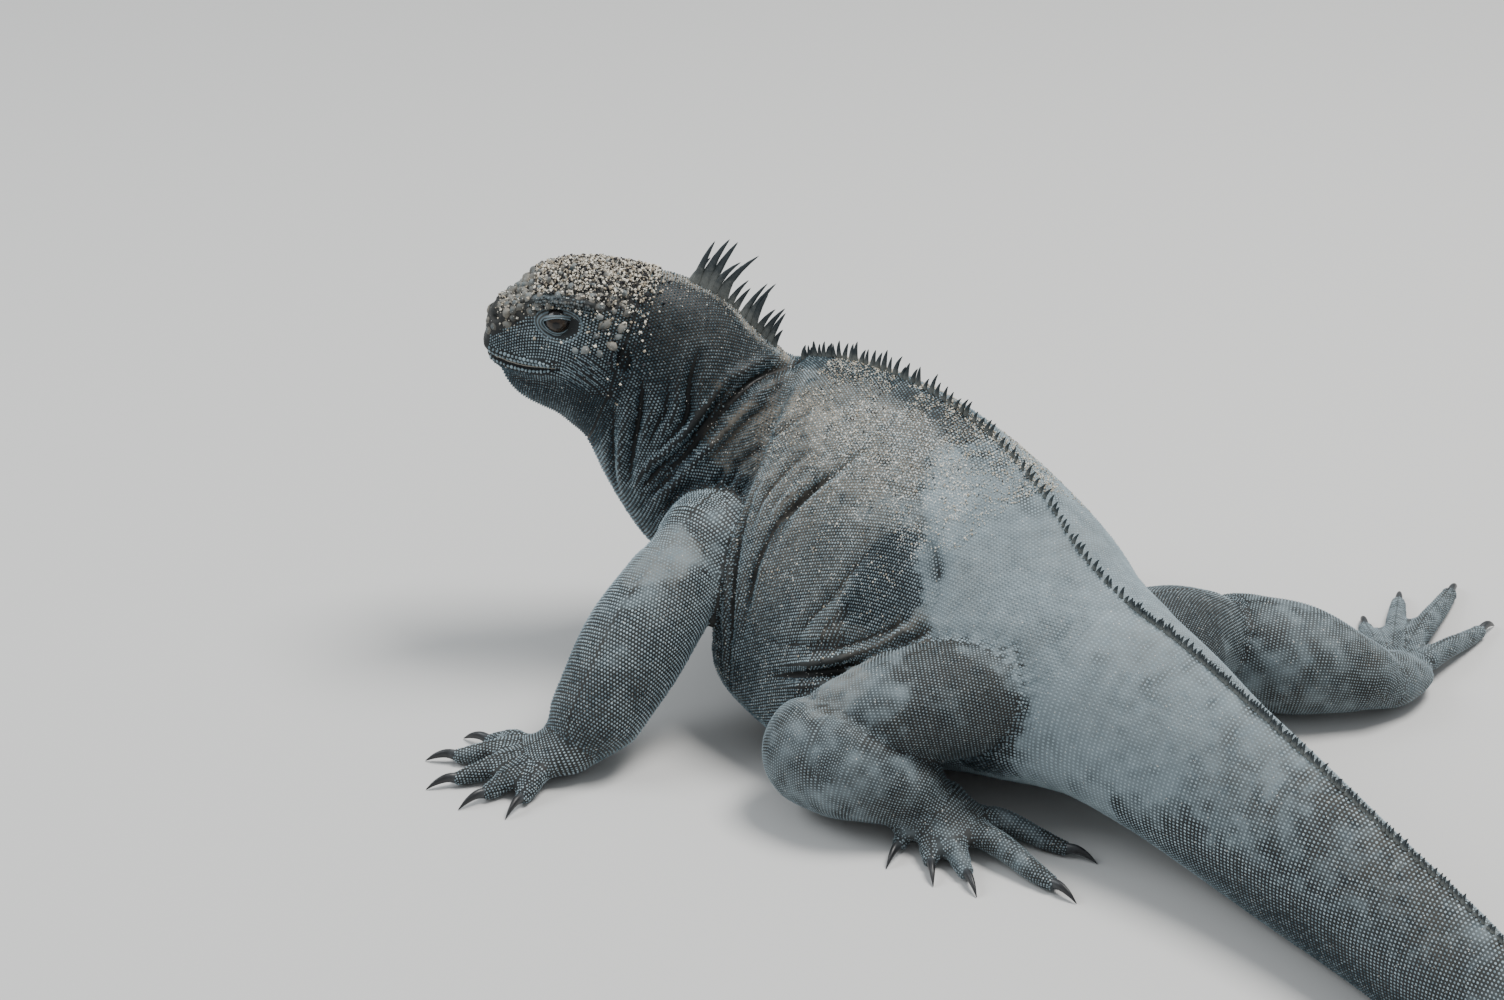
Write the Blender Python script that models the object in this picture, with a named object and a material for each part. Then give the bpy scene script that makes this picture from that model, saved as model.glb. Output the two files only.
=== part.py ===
"""A marine iguana as a still, life-size model, built from named sizes.

The animal lies on level ground with its head raised and turned to its left.
Lengths in the tables are centimetres. The head looks along -X, its left side
is -Y, and heights are above the ground. At the end everything is moved so that
the middle of its footprint is the origin.
"""
import math
import random
from dataclasses import dataclass

import bmesh
import bpy
from mathutils import Matrix, Vector
from mathutils.bvhtree import BVHTree

CM = 0.01
GAP = 0.032
GROUND = 0.0
SEED = 7

BODY_SIDES = 24
BODY_STEPS = 2
LIMB_SIDES = 12
LIMB_STEPS = 2
TOE_SIDES = 7
LIP_SIDES = 6
CLAW_SIDES = 6

# The head's own frame: the snout's tip, the way it looks and its left side.
SNOUT = Vector((-23.16, -9.53, 0.0))
HEADING = Vector((-0.602, -0.799, 0.0)).normalized()
HEAD_LEFT = Vector((0.799, -0.602, 0.0)).normalized()
HEAD_LENGTH = 6.2
MOUTH_HEIGHT = 12.6
MOUTH_CORNER = 2.75
EYE_BACK = 2.85
EYE_HEIGHT = 14.3
EYE_RADIUS = 0.55
EYE_DEPTH = 0.4
LID_RADIUS = 0.70
LID_OPENING = (0.47, 0.27)
NOSTRIL_BACK = 0.42
NOSTRIL_HEIGHT = 14.15
EARDRUM_BACK = 4.9
EARDRUM_HEIGHT = 13.2
EARDRUM_SIZE = (0.34, 0.46)

# Crest spines: how many, their length at each end of the run, and their lean.
NAPE_SPINES = 14
NAPE_SPINE_LENGTH = (1.9, 2.2, 2.0, 1.2)
BACK_SPINES = 26
BACK_SPINE_LENGTH = (1.0, 0.8, 0.45)
TAIL_SPINES = (11, 10, 9, 7)
TAIL_SPINE_LENGTH = (0.42, 0.38, 0.32, 0.2)

TOE_LENGTH_HAND = (1.7, 2.5, 3.1, 3.0, 2.1)
TOE_RADIUS = 0.46
CLAW_LENGTH = 1.25
CLAW_RADIUS = 0.19


@dataclass(frozen=True)
class Station:
    """A cross-section of head, body or tail, from its crest point to its keel."""

    top: Vector
    bottom: Vector
    left: float
    right: float
    level: float = 0.45
    roof: float = 2.0
    keel: float = 2.2

    def row(self):
        """Return every size of the section as one list of numbers."""
        return [*self.top, *self.bottom, self.left, self.right, self.level, self.roof, self.keel]


def head_point(back, side, height):
    """Return a point of the head: back from the snout, out to its left, and up."""
    return SNOUT - HEADING * back + HEAD_LEFT * side + Vector((0.0, 0.0, height))


def head_station(back, top, low_back, bottom, half_width, level=0.5, roof=2.1, keel=2.0):
    """Return a section of the head that leans back towards the nape."""
    crest = head_point(back, 0.0, top)
    throat = head_point(low_back, 0.0, bottom)
    return Station(crest, throat, half_width, half_width, level, roof, keel)


def body_station(x, y, top, bottom, left, right, level=0.25, roof=1.65, keel=2.5, swing=(0.0, 0.0)):
    """Return an upright section whose keel may swing away from under its crest."""
    crest = Vector((x, y, top))
    belly = Vector((x + swing[0], y + swing[1], bottom))
    return Station(crest, belly, left, right, level, roof, keel)


HEAD = [
    head_station(0.0, 13.45, 0.02, 12.75, 0.34),
    head_station(0.10, 13.95, 0.10, 12.35, 0.78),
    head_station(0.42, 14.4, 0.36, 11.85, 1.15),
    head_station(1.0, 14.95, 0.85, 11.15, 1.48),
    head_station(1.75, 15.45, 1.35, 10.65, 1.80),
    head_station(2.6, 15.8, 1.95, 10.3, 2.10),
    head_station(3.7, 15.95, 2.6, 10.0, 2.38),
    head_station(4.9, 15.85, 3.2, 9.5, 2.48),
    head_station(HEAD_LENGTH, 15.6, 3.8, 8.8, 2.36),
]
NECK = [
    head_station(HEAD_LENGTH, 15.6, 3.8, 8.8, 2.36),
    Station(Vector((-18.55, -3.45, 15.25)), Vector((-20.45, -5.93, 7.2)), 2.75, 2.5, 0.48, 1.9, 2.1),
    Station(Vector((-17.75, -2.3, 14.45)), Vector((-19.8, -5.0, 5.2)), 3.3, 2.8, 0.46, 1.8, 2.2),
    Station(Vector((-16.9, -1.15, 12.95)), Vector((-18.9, -3.7, 3.5)), 4.0, 3.1, 0.42, 1.8, 2.3),
    Station(Vector((-16.15, -0.2, 12.0)), Vector((-17.5, -2.2, 1.4)), 5.4, 3.6, 0.34, 1.8, 2.4),
]
TORSO = [
    Station(Vector((-16.15, -0.2, 12.0)), Vector((-17.5, -2.2, 1.4)), 5.4, 3.6, 0.34, 1.8, 2.4),
    body_station(-14.9, 0.35, 12.4, 0.5, 6.9, 4.1, 0.27, 1.75, 2.4, (-0.8, -0.9)),
    body_station(-12.6, 0.95, 12.6, 0.05, 8.1, 4.6, 0.22, 1.65, 2.5, (-0.3, -0.5)),
    body_station(-9.6, 1.4, 12.4, -0.08, 8.75, 4.8, 0.2, 1.65, 2.6),
    body_station(-6.6, 1.75, 11.6, -0.08, 8.5, 4.7, 0.21, 1.65, 2.6),
    body_station(-3.5, 1.5, 10.5, 0.15, 6.7, 4.4, 0.27, 1.75, 2.5),
    body_station(-1.0, 1.05, 9.4, 0.7, 5.1, 3.9, 0.33, 1.85, 2.3),
    body_station(1.6, 0.9, 8.6, 1.25, 3.9, 3.5, 0.36, 1.9, 2.2),
]
TAIL = [
    body_station(1.6, 0.9, 8.6, 1.25, 3.9, 3.5, 0.36, 1.9, 2.2),
    body_station(4.4, 0.95, 8.1, 0.85, 3.2, 3.1, 0.40, 1.7, 2.1),
    body_station(7.4, 0.9, 7.4, 0.25, 2.6, 2.5, 0.44, 1.6, 2.0),
    body_station(10.6, 0.75, 6.7, -0.06, 2.2, 2.2, 0.46, 1.6, 2.0),
    body_station(15.0, 0.3, 5.9, -0.06, 1.8, 1.8, 0.47, 1.6, 2.0),
    body_station(20.0, -0.5, 5.3, -0.06, 1.5, 1.5, 0.48, 1.6, 2.0),
    body_station(25.5, -1.9, 4.6, -0.06, 1.22, 1.22, 0.48, 1.6, 2.0),
    body_station(31.0, -3.7, 3.8, -0.06, 0.98, 0.98, 0.48, 1.6, 2.0),
    body_station(36.5, -5.2, 2.9, -0.06, 0.75, 0.75, 0.48, 1.6, 2.0),
    body_station(42.0, -5.7, 1.9, -0.06, 0.52, 0.52, 0.48, 1.6, 2.0),
    body_station(46.5, -5.2, 1.0, -0.05, 0.32, 0.32, 0.48, 1.7, 2.0),
    body_station(49.5, -4.4, 0.42, 0.0, 0.16, 0.16, 0.5, 2.0, 2.0),
]
TAIL_CUTS = (0, 3, 5, 7, 11)


def skin_material(name, colour, roughness):
    """Return a plain Principled material of one colour."""
    material = bpy.data.materials.new(name)
    material.use_nodes = True
    shader = material.node_tree.nodes["Principled BSDF"]
    shader.inputs["Base Color"].default_value = (*colour, 1.0)
    shader.inputs["Roughness"].default_value = roughness
    shader.inputs["Metallic"].default_value = 0.0
    return material


def through(rows, steps):
    """Return rows of numbers on a smooth curve through the given rows."""
    first = [2 * a - b for a, b in zip(rows[0], rows[1])]
    last = [2 * a - b for a, b in zip(rows[-1], rows[-2])]
    padded = [first, *rows, last]
    curve = []
    for index in range(len(rows) - 1):
        before, start, end, after = padded[index:index + 4]
        for step in range(steps):
            t = step / steps
            curve.append([
                0.5 * (2 * b + (c - a) * t + (2 * a - 5 * b + 4 * c - d) * t * t
                       + (3 * b - a - 3 * c + d) * t ** 3)
                for a, b, c, d in zip(before, start, end, after)
            ])
    curve.append(list(rows[-1]))
    return curve


def directions(points):
    """Return the unit direction of travel at each point of a path."""
    ways = []
    for index in range(len(points)):
        ahead = points[min(index + 1, len(points) - 1)]
        behind = points[max(index - 1, 0)]
        ways.append((ahead - behind).normalized())
    return ways


def power_circle(angle, power):
    """Return a point on a unit superellipse."""
    cosine = math.cos(angle)
    sine = math.sin(angle)
    across = math.copysign(abs(cosine) ** (2 / power), cosine)
    upward = math.copysign(abs(sine) ** (2 / power), sine)
    return across, upward


def body_rings(stations, steps, grounded=True):
    """Return rings of points along the body, pressed flat where it lies on the ground."""
    rows = through([station.row() for station in stations], steps)
    tops = [Vector(row[0:3]) for row in rows]
    bottoms = [Vector(row[3:6]) for row in rows]
    middles = [(top + bottom) / 2 for top, bottom in zip(tops, bottoms)]
    rings = []
    for row, top, bottom, way in zip(rows, tops, bottoms, directions(middles)):
        left, right, level, roof, keel = row[6:]
        height = (top - bottom).length
        upward = (top - bottom) / height
        leftward = way.cross(upward).normalized()
        centre = bottom + upward * height * level
        ring = []
        for index in range(BODY_SIDES):
            angle = 2 * math.pi * (index + 0.5) / BODY_SIDES - math.pi / 2
            across, rise = power_circle(angle, roof if math.sin(angle) > 0 else keel)
            half = left if across > 0 else right
            lift = height * (1 - level) if rise > 0 else height * level
            point = centre + leftward * across * half + upward * rise * lift
            if grounded:
                point.z = max(point.z, GROUND)
            ring.append(point)
        rings.append(ring)
    return rings


def limb_rings(rows, steps, sides, grounded=True, start_cap=True, end_cap=True):
    """Return rings along a limb whose rows hold a place, a half width and a half height."""
    rows = through(rows, steps)
    points = [Vector(row[:3]) for row in rows]
    ways = directions(points)
    sizes = [(row[3], row[4]) for row in rows]
    placed = [(point, way, size) for point, way, size in zip(points, ways, sizes)]
    round_end = [(math.sin(math.radians(a)), math.cos(math.radians(a))) for a in (28, 55, 76)]
    if start_cap:
        point, way, size = placed[0]
        reach = min(size)
        for along, shrink in round_end:
            placed.insert(0, (point - way * reach * along, way, (size[0] * shrink, size[1] * shrink)))
    if end_cap:
        point, way, size = placed[-1]
        reach = min(size)
        for along, shrink in round_end:
            placed.append((point + way * reach * along, way, (size[0] * shrink, size[1] * shrink)))
    rings = []
    for point, way, size in placed:
        upward = Vector((0.0, 0.0, 1.0))
        upward = (upward - way * upward.dot(way)).normalized()
        leftward = way.cross(upward)
        ring = []
        for index in range(sides):
            angle = 2 * math.pi * (index + 0.5) / sides - math.pi / 2
            place = point + leftward * math.cos(angle) * size[0] + upward * math.sin(angle) * size[1]
            if grounded:
                place.z = max(place.z, GROUND)
            ring.append(place)
        rings.append(ring)
    return rings


def loft(name, rings, collection, swell=0.0):
    """Join rings of points, in centimetres, into one closed skin, swollen if asked."""
    mesh = bmesh.new()
    rows = [[mesh.verts.new(point * CM) for point in ring] for ring in rings]
    count = len(rings[0])
    for near, far in zip(rows, rows[1:]):
        for index in range(count):
            following = (index + 1) % count
            mesh.faces.new((near[index], near[following], far[following]))
            mesh.faces.new((near[index], far[following], far[index]))
    mesh.faces.new(list(reversed(rows[0])))
    mesh.faces.new(rows[-1])
    bmesh.ops.remove_doubles(mesh, verts=mesh.verts, dist=1e-6)
    bmesh.ops.triangulate(mesh, faces=mesh.faces)
    bmesh.ops.recalc_face_normals(mesh, faces=mesh.faces)
    if swell:
        mesh.normal_update()
        for vert in mesh.verts:
            vert.co += vert.normal * swell * CM
    return add_object(name, mesh, collection)


def add_object(name, mesh, collection):
    """Turn a bmesh into a named object in a collection."""
    data = bpy.data.meshes.new(name)
    mesh.to_mesh(data)
    mesh.free()
    piece = bpy.data.objects.new(name, data)
    collection.objects.link(piece)
    return piece


def ellipsoid(name, centre, radii, axes, collection, rings=8, sides=12):
    """Return a closed ellipsoid, in centimetres, turned to three axes."""
    mesh = bmesh.new()
    bmesh.ops.create_uvsphere(mesh, u_segments=sides, v_segments=rings, radius=1.0)
    turn = Matrix([(a * r * CM).to_tuple() for a, r in zip(axes, radii)]).transposed().to_4x4()
    turn.translation = centre * CM
    bmesh.ops.transform(mesh, matrix=turn, verts=mesh.verts)
    bmesh.ops.recalc_face_normals(mesh, faces=mesh.faces)
    return add_object(name, mesh, collection)


def apply_boolean(piece, others, operation, collection):
    """Join others to a piece, or cut them from it, and remove them."""
    group = bpy.data.collections.new("boolean_group")
    bpy.context.scene.collection.children.link(group)
    for other in others:
        group.objects.link(other)
    modifier = piece.modifiers.new(operation.lower(), "BOOLEAN")
    modifier.operation = operation
    modifier.operand_type = "COLLECTION"
    modifier.collection = group
    modifier.solver = "EXACT"
    evaluated = piece.evaluated_get(bpy.context.evaluated_depsgraph_get())
    data = bpy.data.meshes.new_from_object(evaluated)
    piece.modifiers.clear()
    old = piece.data
    piece.data = data
    data.name = piece.name
    bpy.data.meshes.remove(old)
    for other in others:
        bpy.data.objects.remove(other)
    bpy.data.collections.remove(group)
    keep_largest(piece)


def keep_largest(piece):
    """Keep only the closed surface of a piece that has the greatest volume."""
    mesh = bmesh.new()
    mesh.from_mesh(piece.data)
    bmesh.ops.remove_doubles(mesh, verts=mesh.verts, dist=2e-6)
    bmesh.ops.dissolve_degenerate(mesh, edges=mesh.edges, dist=1e-6)
    bmesh.ops.triangulate(mesh, faces=mesh.faces)
    mesh.faces.ensure_lookup_table()
    unseen = set(mesh.faces)
    shells = []
    while unseen:
        stack = [unseen.pop()]
        shell = list(stack)
        while stack:
            face = stack.pop()
            for edge in face.edges:
                for other in edge.link_faces:
                    if other in unseen:
                        unseen.remove(other)
                        stack.append(other)
                        shell.append(other)
        shells.append(shell)
    shells.sort(key=shell_volume)
    spare = [face for shell in shells[:-1] for face in shell]
    if spare:
        bmesh.ops.delete(mesh, geom=spare, context="FACES")
    loose = [vert for vert in mesh.verts if not vert.link_faces]
    bmesh.ops.delete(mesh, geom=loose, context="VERTS")
    mesh.to_mesh(piece.data)
    mesh.free()


def shell_volume(faces):
    """Return the volume inside a closed set of triangles."""
    total = 0.0
    for face in faces:
        a, b, c = (vert.co for vert in face.verts[:3])
        total += a.dot(b.cross(c)) / 6
    return total


def spine(root, upward, backward, length, thickness, collection):
    """Return one crest spine: a flat-sided blade that tapers and curves back."""
    sideways = upward.cross(backward).normalized()
    shape = ((-0.35, 0.9, 0.0), (0.45, 0.62, 0.16), (0.8, 0.34, 0.32))
    rings = []
    for rise, wide, back in shape:
        middle = root + upward * length * rise + backward * length * back
        half_long = backward * thickness * wide
        half_thin = sideways * max(thickness * 0.55 * wide, 0.03)
        rings.append([middle + half_long, middle + half_thin, middle - half_long, middle - half_thin])
    tip = root + upward * length + backward * length * 0.45
    mesh = bmesh.new()
    rows = [[mesh.verts.new(point * CM) for point in ring] for ring in rings]
    for near, far in zip(rows, rows[1:]):
        for index in range(4):
            following = (index + 1) % 4
            mesh.faces.new((near[index], near[following], far[following], far[index]))
    point = mesh.verts.new(tip * CM)
    for index in range(4):
        mesh.faces.new((rows[-1][index], rows[-1][(index + 1) % 4], point))
    mesh.faces.new(list(reversed(rows[0])))
    bmesh.ops.triangulate(mesh, faces=mesh.faces)
    bmesh.ops.recalc_face_normals(mesh, faces=mesh.faces)
    return add_object("spine", mesh, collection)


def crest_line(stations, steps):
    """Return places along a run of stations with their up and back directions."""
    rows = through([station.row() for station in stations], steps)
    tops = [Vector(row[0:3]) for row in rows]
    places = []
    for row, top, way in zip(rows, tops, directions(tops)):
        upward = (top - Vector(row[3:6])).normalized()
        backward = (way - upward * way.dot(upward)).normalized()
        places.append((top, upward, backward))
    return places


def crest(stations, count, lengths, draws, collection, begin=0.04, finish=0.97):
    """Return a row of spines whose length runs through the given values."""
    places = crest_line(stations, 12)
    spines = []
    for index in range(count):
        t = (index + 0.5) / count
        top, upward, backward = places[round((begin + (finish - begin) * t) * (len(places) - 1))]
        span = t * (len(lengths) - 1)
        low = min(int(span), len(lengths) - 2)
        length = lengths[low] + (lengths[low + 1] - lengths[low]) * (span - low)
        length *= draws.uniform(0.85, 1.12)
        lean = backward + upward.cross(backward) * draws.uniform(-0.12, 0.12)
        thickness = 0.13 + 0.06 * length
        spines.append(spine(top, upward, lean.normalized(), length, thickness, collection))
    return spines


def build_body(parts, tools, skin):
    """Build head, neck, torso and the lengths of tail as nodes that meet at flat sections."""
    draws = random.Random(SEED)
    nodes = {}
    runs = {"head": HEAD, "neck": NECK, "torso": TORSO}
    for number, (start, end) in enumerate(zip(TAIL_CUTS, TAIL_CUTS[1:]), 1):
        runs[f"tail_{number}"] = TAIL[start:end + 1]
    order = list(runs)
    whole = HEAD[:-1] + NECK[:-1] + TORSO[:-1] + TAIL
    rings = body_rings(whole, BODY_STEPS)
    first = 0
    for name in order:
        spans = len(runs[name]) - 1
        last = first + spans * BODY_STEPS
        part = [list(ring) for ring in rings[first:last + 1]]
        if name != order[0]:
            part[0] = shifted(part[0], part[1], GAP / 2)
        if name != order[-1]:
            part[-1] = shifted(part[-1], part[-2], GAP / 2)
        nodes[name] = loft(name, part, parts)
        nodes[name].data.materials.append(skin)
        first = last
    spines = crest(NECK, NAPE_SPINES, NAPE_SPINE_LENGTH, draws, tools, 0.26)
    apply_boolean(nodes["neck"], spines, "UNION", tools)
    spines = crest(TORSO, BACK_SPINES, BACK_SPINE_LENGTH, draws, tools, 0.06)
    apply_boolean(nodes["torso"], spines, "UNION", tools)
    for number, count in enumerate(TAIL_SPINES, 1):
        name = f"tail_{number}"
        length = (TAIL_SPINE_LENGTH[number - 1], TAIL_SPINE_LENGTH[min(number, 3)])
        spines = crest(runs[name], count, length, draws, tools)
        apply_boolean(nodes[name], spines, "UNION", tools)
    return nodes


def shifted(ring, inner, distance):
    """Return an end ring moved a little way towards the ring inside it."""
    middle = sum(ring, Vector()) / len(ring)
    normal = Vector()
    for index, point in enumerate(ring):
        following = ring[(index + 1) % len(ring)]
        normal += (point - middle).cross(following - middle)
    normal.normalize()
    inside = sum(inner, Vector()) / len(inner) - middle
    if normal.dot(inside) < 0:
        normal.negate()
    return [point + normal * distance for point in ring]


def finish_head(nodes, parts, tools, eye_material):
    """Give the head its brows, lids, mouth, nostrils, ear drums and horny scales."""
    head = nodes["head"]
    surface = surface_of(head)
    upward = Vector((0.0, 0.0, 1.0))
    raised = []
    cut = []
    for side, label in ((1, "left"), (-1, "right")):
        outward = HEAD_LEFT * side
        axes = (HEADING, outward, upward)
        socket = surface_point(surface, head_point(EYE_BACK, 0.0, EYE_HEIGHT), outward)
        centre = socket - outward * EYE_DEPTH
        raised.append(ellipsoid("lid", centre, (LID_RADIUS + 0.1, LID_RADIUS, LID_RADIUS), axes, tools, 8, 12))
        brow = centre + upward * 0.62 - HEADING * 0.1 - outward * 0.08
        raised.append(ellipsoid("brow", brow, (1.0, 0.42, 0.3), axes, tools, 6, 8))
        opening = centre + outward * (LID_RADIUS + 0.2)
        almond = (LID_OPENING[0], LID_RADIUS, LID_OPENING[1])
        cut.append(ellipsoid("opening", opening, almond, axes, tools, 6, 10))
        ball = EYE_RADIUS + GAP
        cut.append(ellipsoid("socket", centre, (ball, ball, ball), axes, tools, 8, 12))
        eye = ellipsoid(f"eye_{label}", centre, (EYE_RADIUS,) * 3, axes, parts, 8, 12)
        eye.data.materials.append(eye_material)
        nodes[eye.name] = eye
        drum = surface_point(surface, head_point(EARDRUM_BACK, 0.0, EARDRUM_HEIGHT), outward)
        sizes = (EARDRUM_SIZE[0], 0.16, EARDRUM_SIZE[1])
        cut.append(ellipsoid("drum", drum, sizes, axes, tools, 6, 10))
        nose = surface_point(surface, head_point(NOSTRIL_BACK, 0.0, NOSTRIL_HEIGHT), outward)
        cut.append(ellipsoid("nostril", nose, (0.17, 0.2, 0.11), axes, tools, 6, 8))
    raised += lips(surface, tools)
    raised += horny_scales(surface, tools)
    apply_boolean(head, raised, "UNION", tools)
    cut.append(mouth_line(surface, tools))
    apply_boolean(head, cut, "DIFFERENCE", tools)


def surface_of(piece):
    """Return a search tree of a piece's faces, in metres."""
    mesh = bmesh.new()
    mesh.from_mesh(piece.data)
    tree = BVHTree.FromBMesh(mesh)
    mesh.free()
    return tree


def surface_point(tree, origin, way):
    """Return where a ray from inside leaves the surface, in centimetres."""
    place, _, _, _ = tree.ray_cast(origin * CM, way)
    return place / CM


def mouth_route(surface, height, back, count):
    """Return points on the face at one height, from one mouth corner round to the other."""
    route = []
    middle = head_point(back, 0.0, height)
    for index in range(count):
        angle = math.radians(-90 + 180 * index / (count - 1))
        way = HEADING * math.cos(angle) + HEAD_LEFT * math.sin(angle)
        route.append(surface_point(surface, middle, way))
    return route


def mouth_line(surface, tools):
    """Return a thin bent rod that cuts the line of the mouth."""
    rows = [[*point, 0.11, 0.08] for point in mouth_route(surface, MOUTH_HEIGHT, MOUTH_CORNER, 13)]
    return loft("mouth", limb_rings(rows, 1, LIP_SIDES, True, False, False), tools)


def lips(surface, tools):
    """Return the swollen edges above and below the mouth."""
    pieces = []
    for height in (MOUTH_HEIGHT + 0.2, MOUTH_HEIGHT - 0.2):
        route = mouth_route(surface, height, MOUTH_CORNER - 0.1, 11)
        rows = [[*point, 0.1, 0.19] for point in route]
        pieces.append(loft("lip", limb_rings(rows, 1, LIP_SIDES, True, False, False), tools))
    return pieces


def horny_scales(surface, tools):
    """Return blunt cones in rows over the top of the snout and head."""
    draws = random.Random(SEED + 1)
    pieces = []
    for row in range(7):
        back = 0.75 + row * 0.72
        half = min(0.62 + 0.34 * row, 2.0)
        count = 3 + (row + 1) // 2
        for index in range(count):
            side = half * (2 * (index + 0.5) / count - 1)
            origin = head_point(back + draws.uniform(-0.1, 0.1), side, 14.0)
            place, normal, _, _ = surface.ray_cast(origin * CM, Vector((0.0, 0.0, 1.0)))
            if place is None:
                continue
            height = draws.uniform(0.16, 0.3) * (1.25 - 0.1 * row)
            radius = draws.uniform(0.2, 0.27)
            pieces.append(blunt_cone(place / CM, normal, radius, height, tools))
    return pieces


def blunt_cone(place, normal, radius, height, tools):
    """Return one low horny cone with its root sunk under the surface."""
    mesh = bmesh.new()
    sink = 0.15
    bmesh.ops.create_cone(mesh, cap_ends=True, segments=5, radius1=radius * CM,
                          radius2=radius * 0.3 * CM, depth=(height + sink) * CM)
    turn = normal.to_track_quat("Z", "Y").to_matrix().to_4x4()
    turn.translation = (place + normal * (height - sink) / 2) * CM
    bmesh.ops.transform(mesh, matrix=turn, verts=mesh.verts)
    bmesh.ops.triangulate(mesh, faces=mesh.faces)
    return add_object("cone", mesh, tools)


@dataclass(frozen=True)
class Limb:
    """One leg: the rows of its two lengths and foot, and where its toes point."""

    label: str
    names: tuple
    upper: tuple
    lower: tuple
    palm: tuple
    toes: tuple


def toe_rows(base, tip, radius):
    """Return the rows of one toe, arched at its knuckle."""
    knuckle = base.lerp(tip, 0.45)
    knuckle.z = base.z * 0.5 + tip.z * 0.5 + 0.22
    near_tip = base.lerp(tip, 0.8)
    near_tip.z = tip.z + 0.12
    return [
        [*base, radius * 1.05, radius],
        [*knuckle, radius * 0.95, radius * 0.95],
        [*near_tip, radius * 0.8, radius * 0.8],
        [*tip, radius * 0.66, radius * 0.66],
    ]


def fan(base, bearing, lengths, spreads, roots):
    """Return toe rows from a palm: each toe's length, bearing in degrees and root offset."""
    toes = []
    for length, spread, root in zip(lengths, spreads, roots):
        angle = math.radians(bearing + spread)
        way = Vector((math.cos(angle), math.sin(angle), 0.0))
        aside = Vector((-math.sin(math.radians(bearing)), math.cos(math.radians(bearing)), 0.0))
        start = base + aside * root
        end = start + way * length
        end.z = 0.3
        toes.append(toe_rows(start, end, TOE_RADIUS))
    return tuple(toes)


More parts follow.
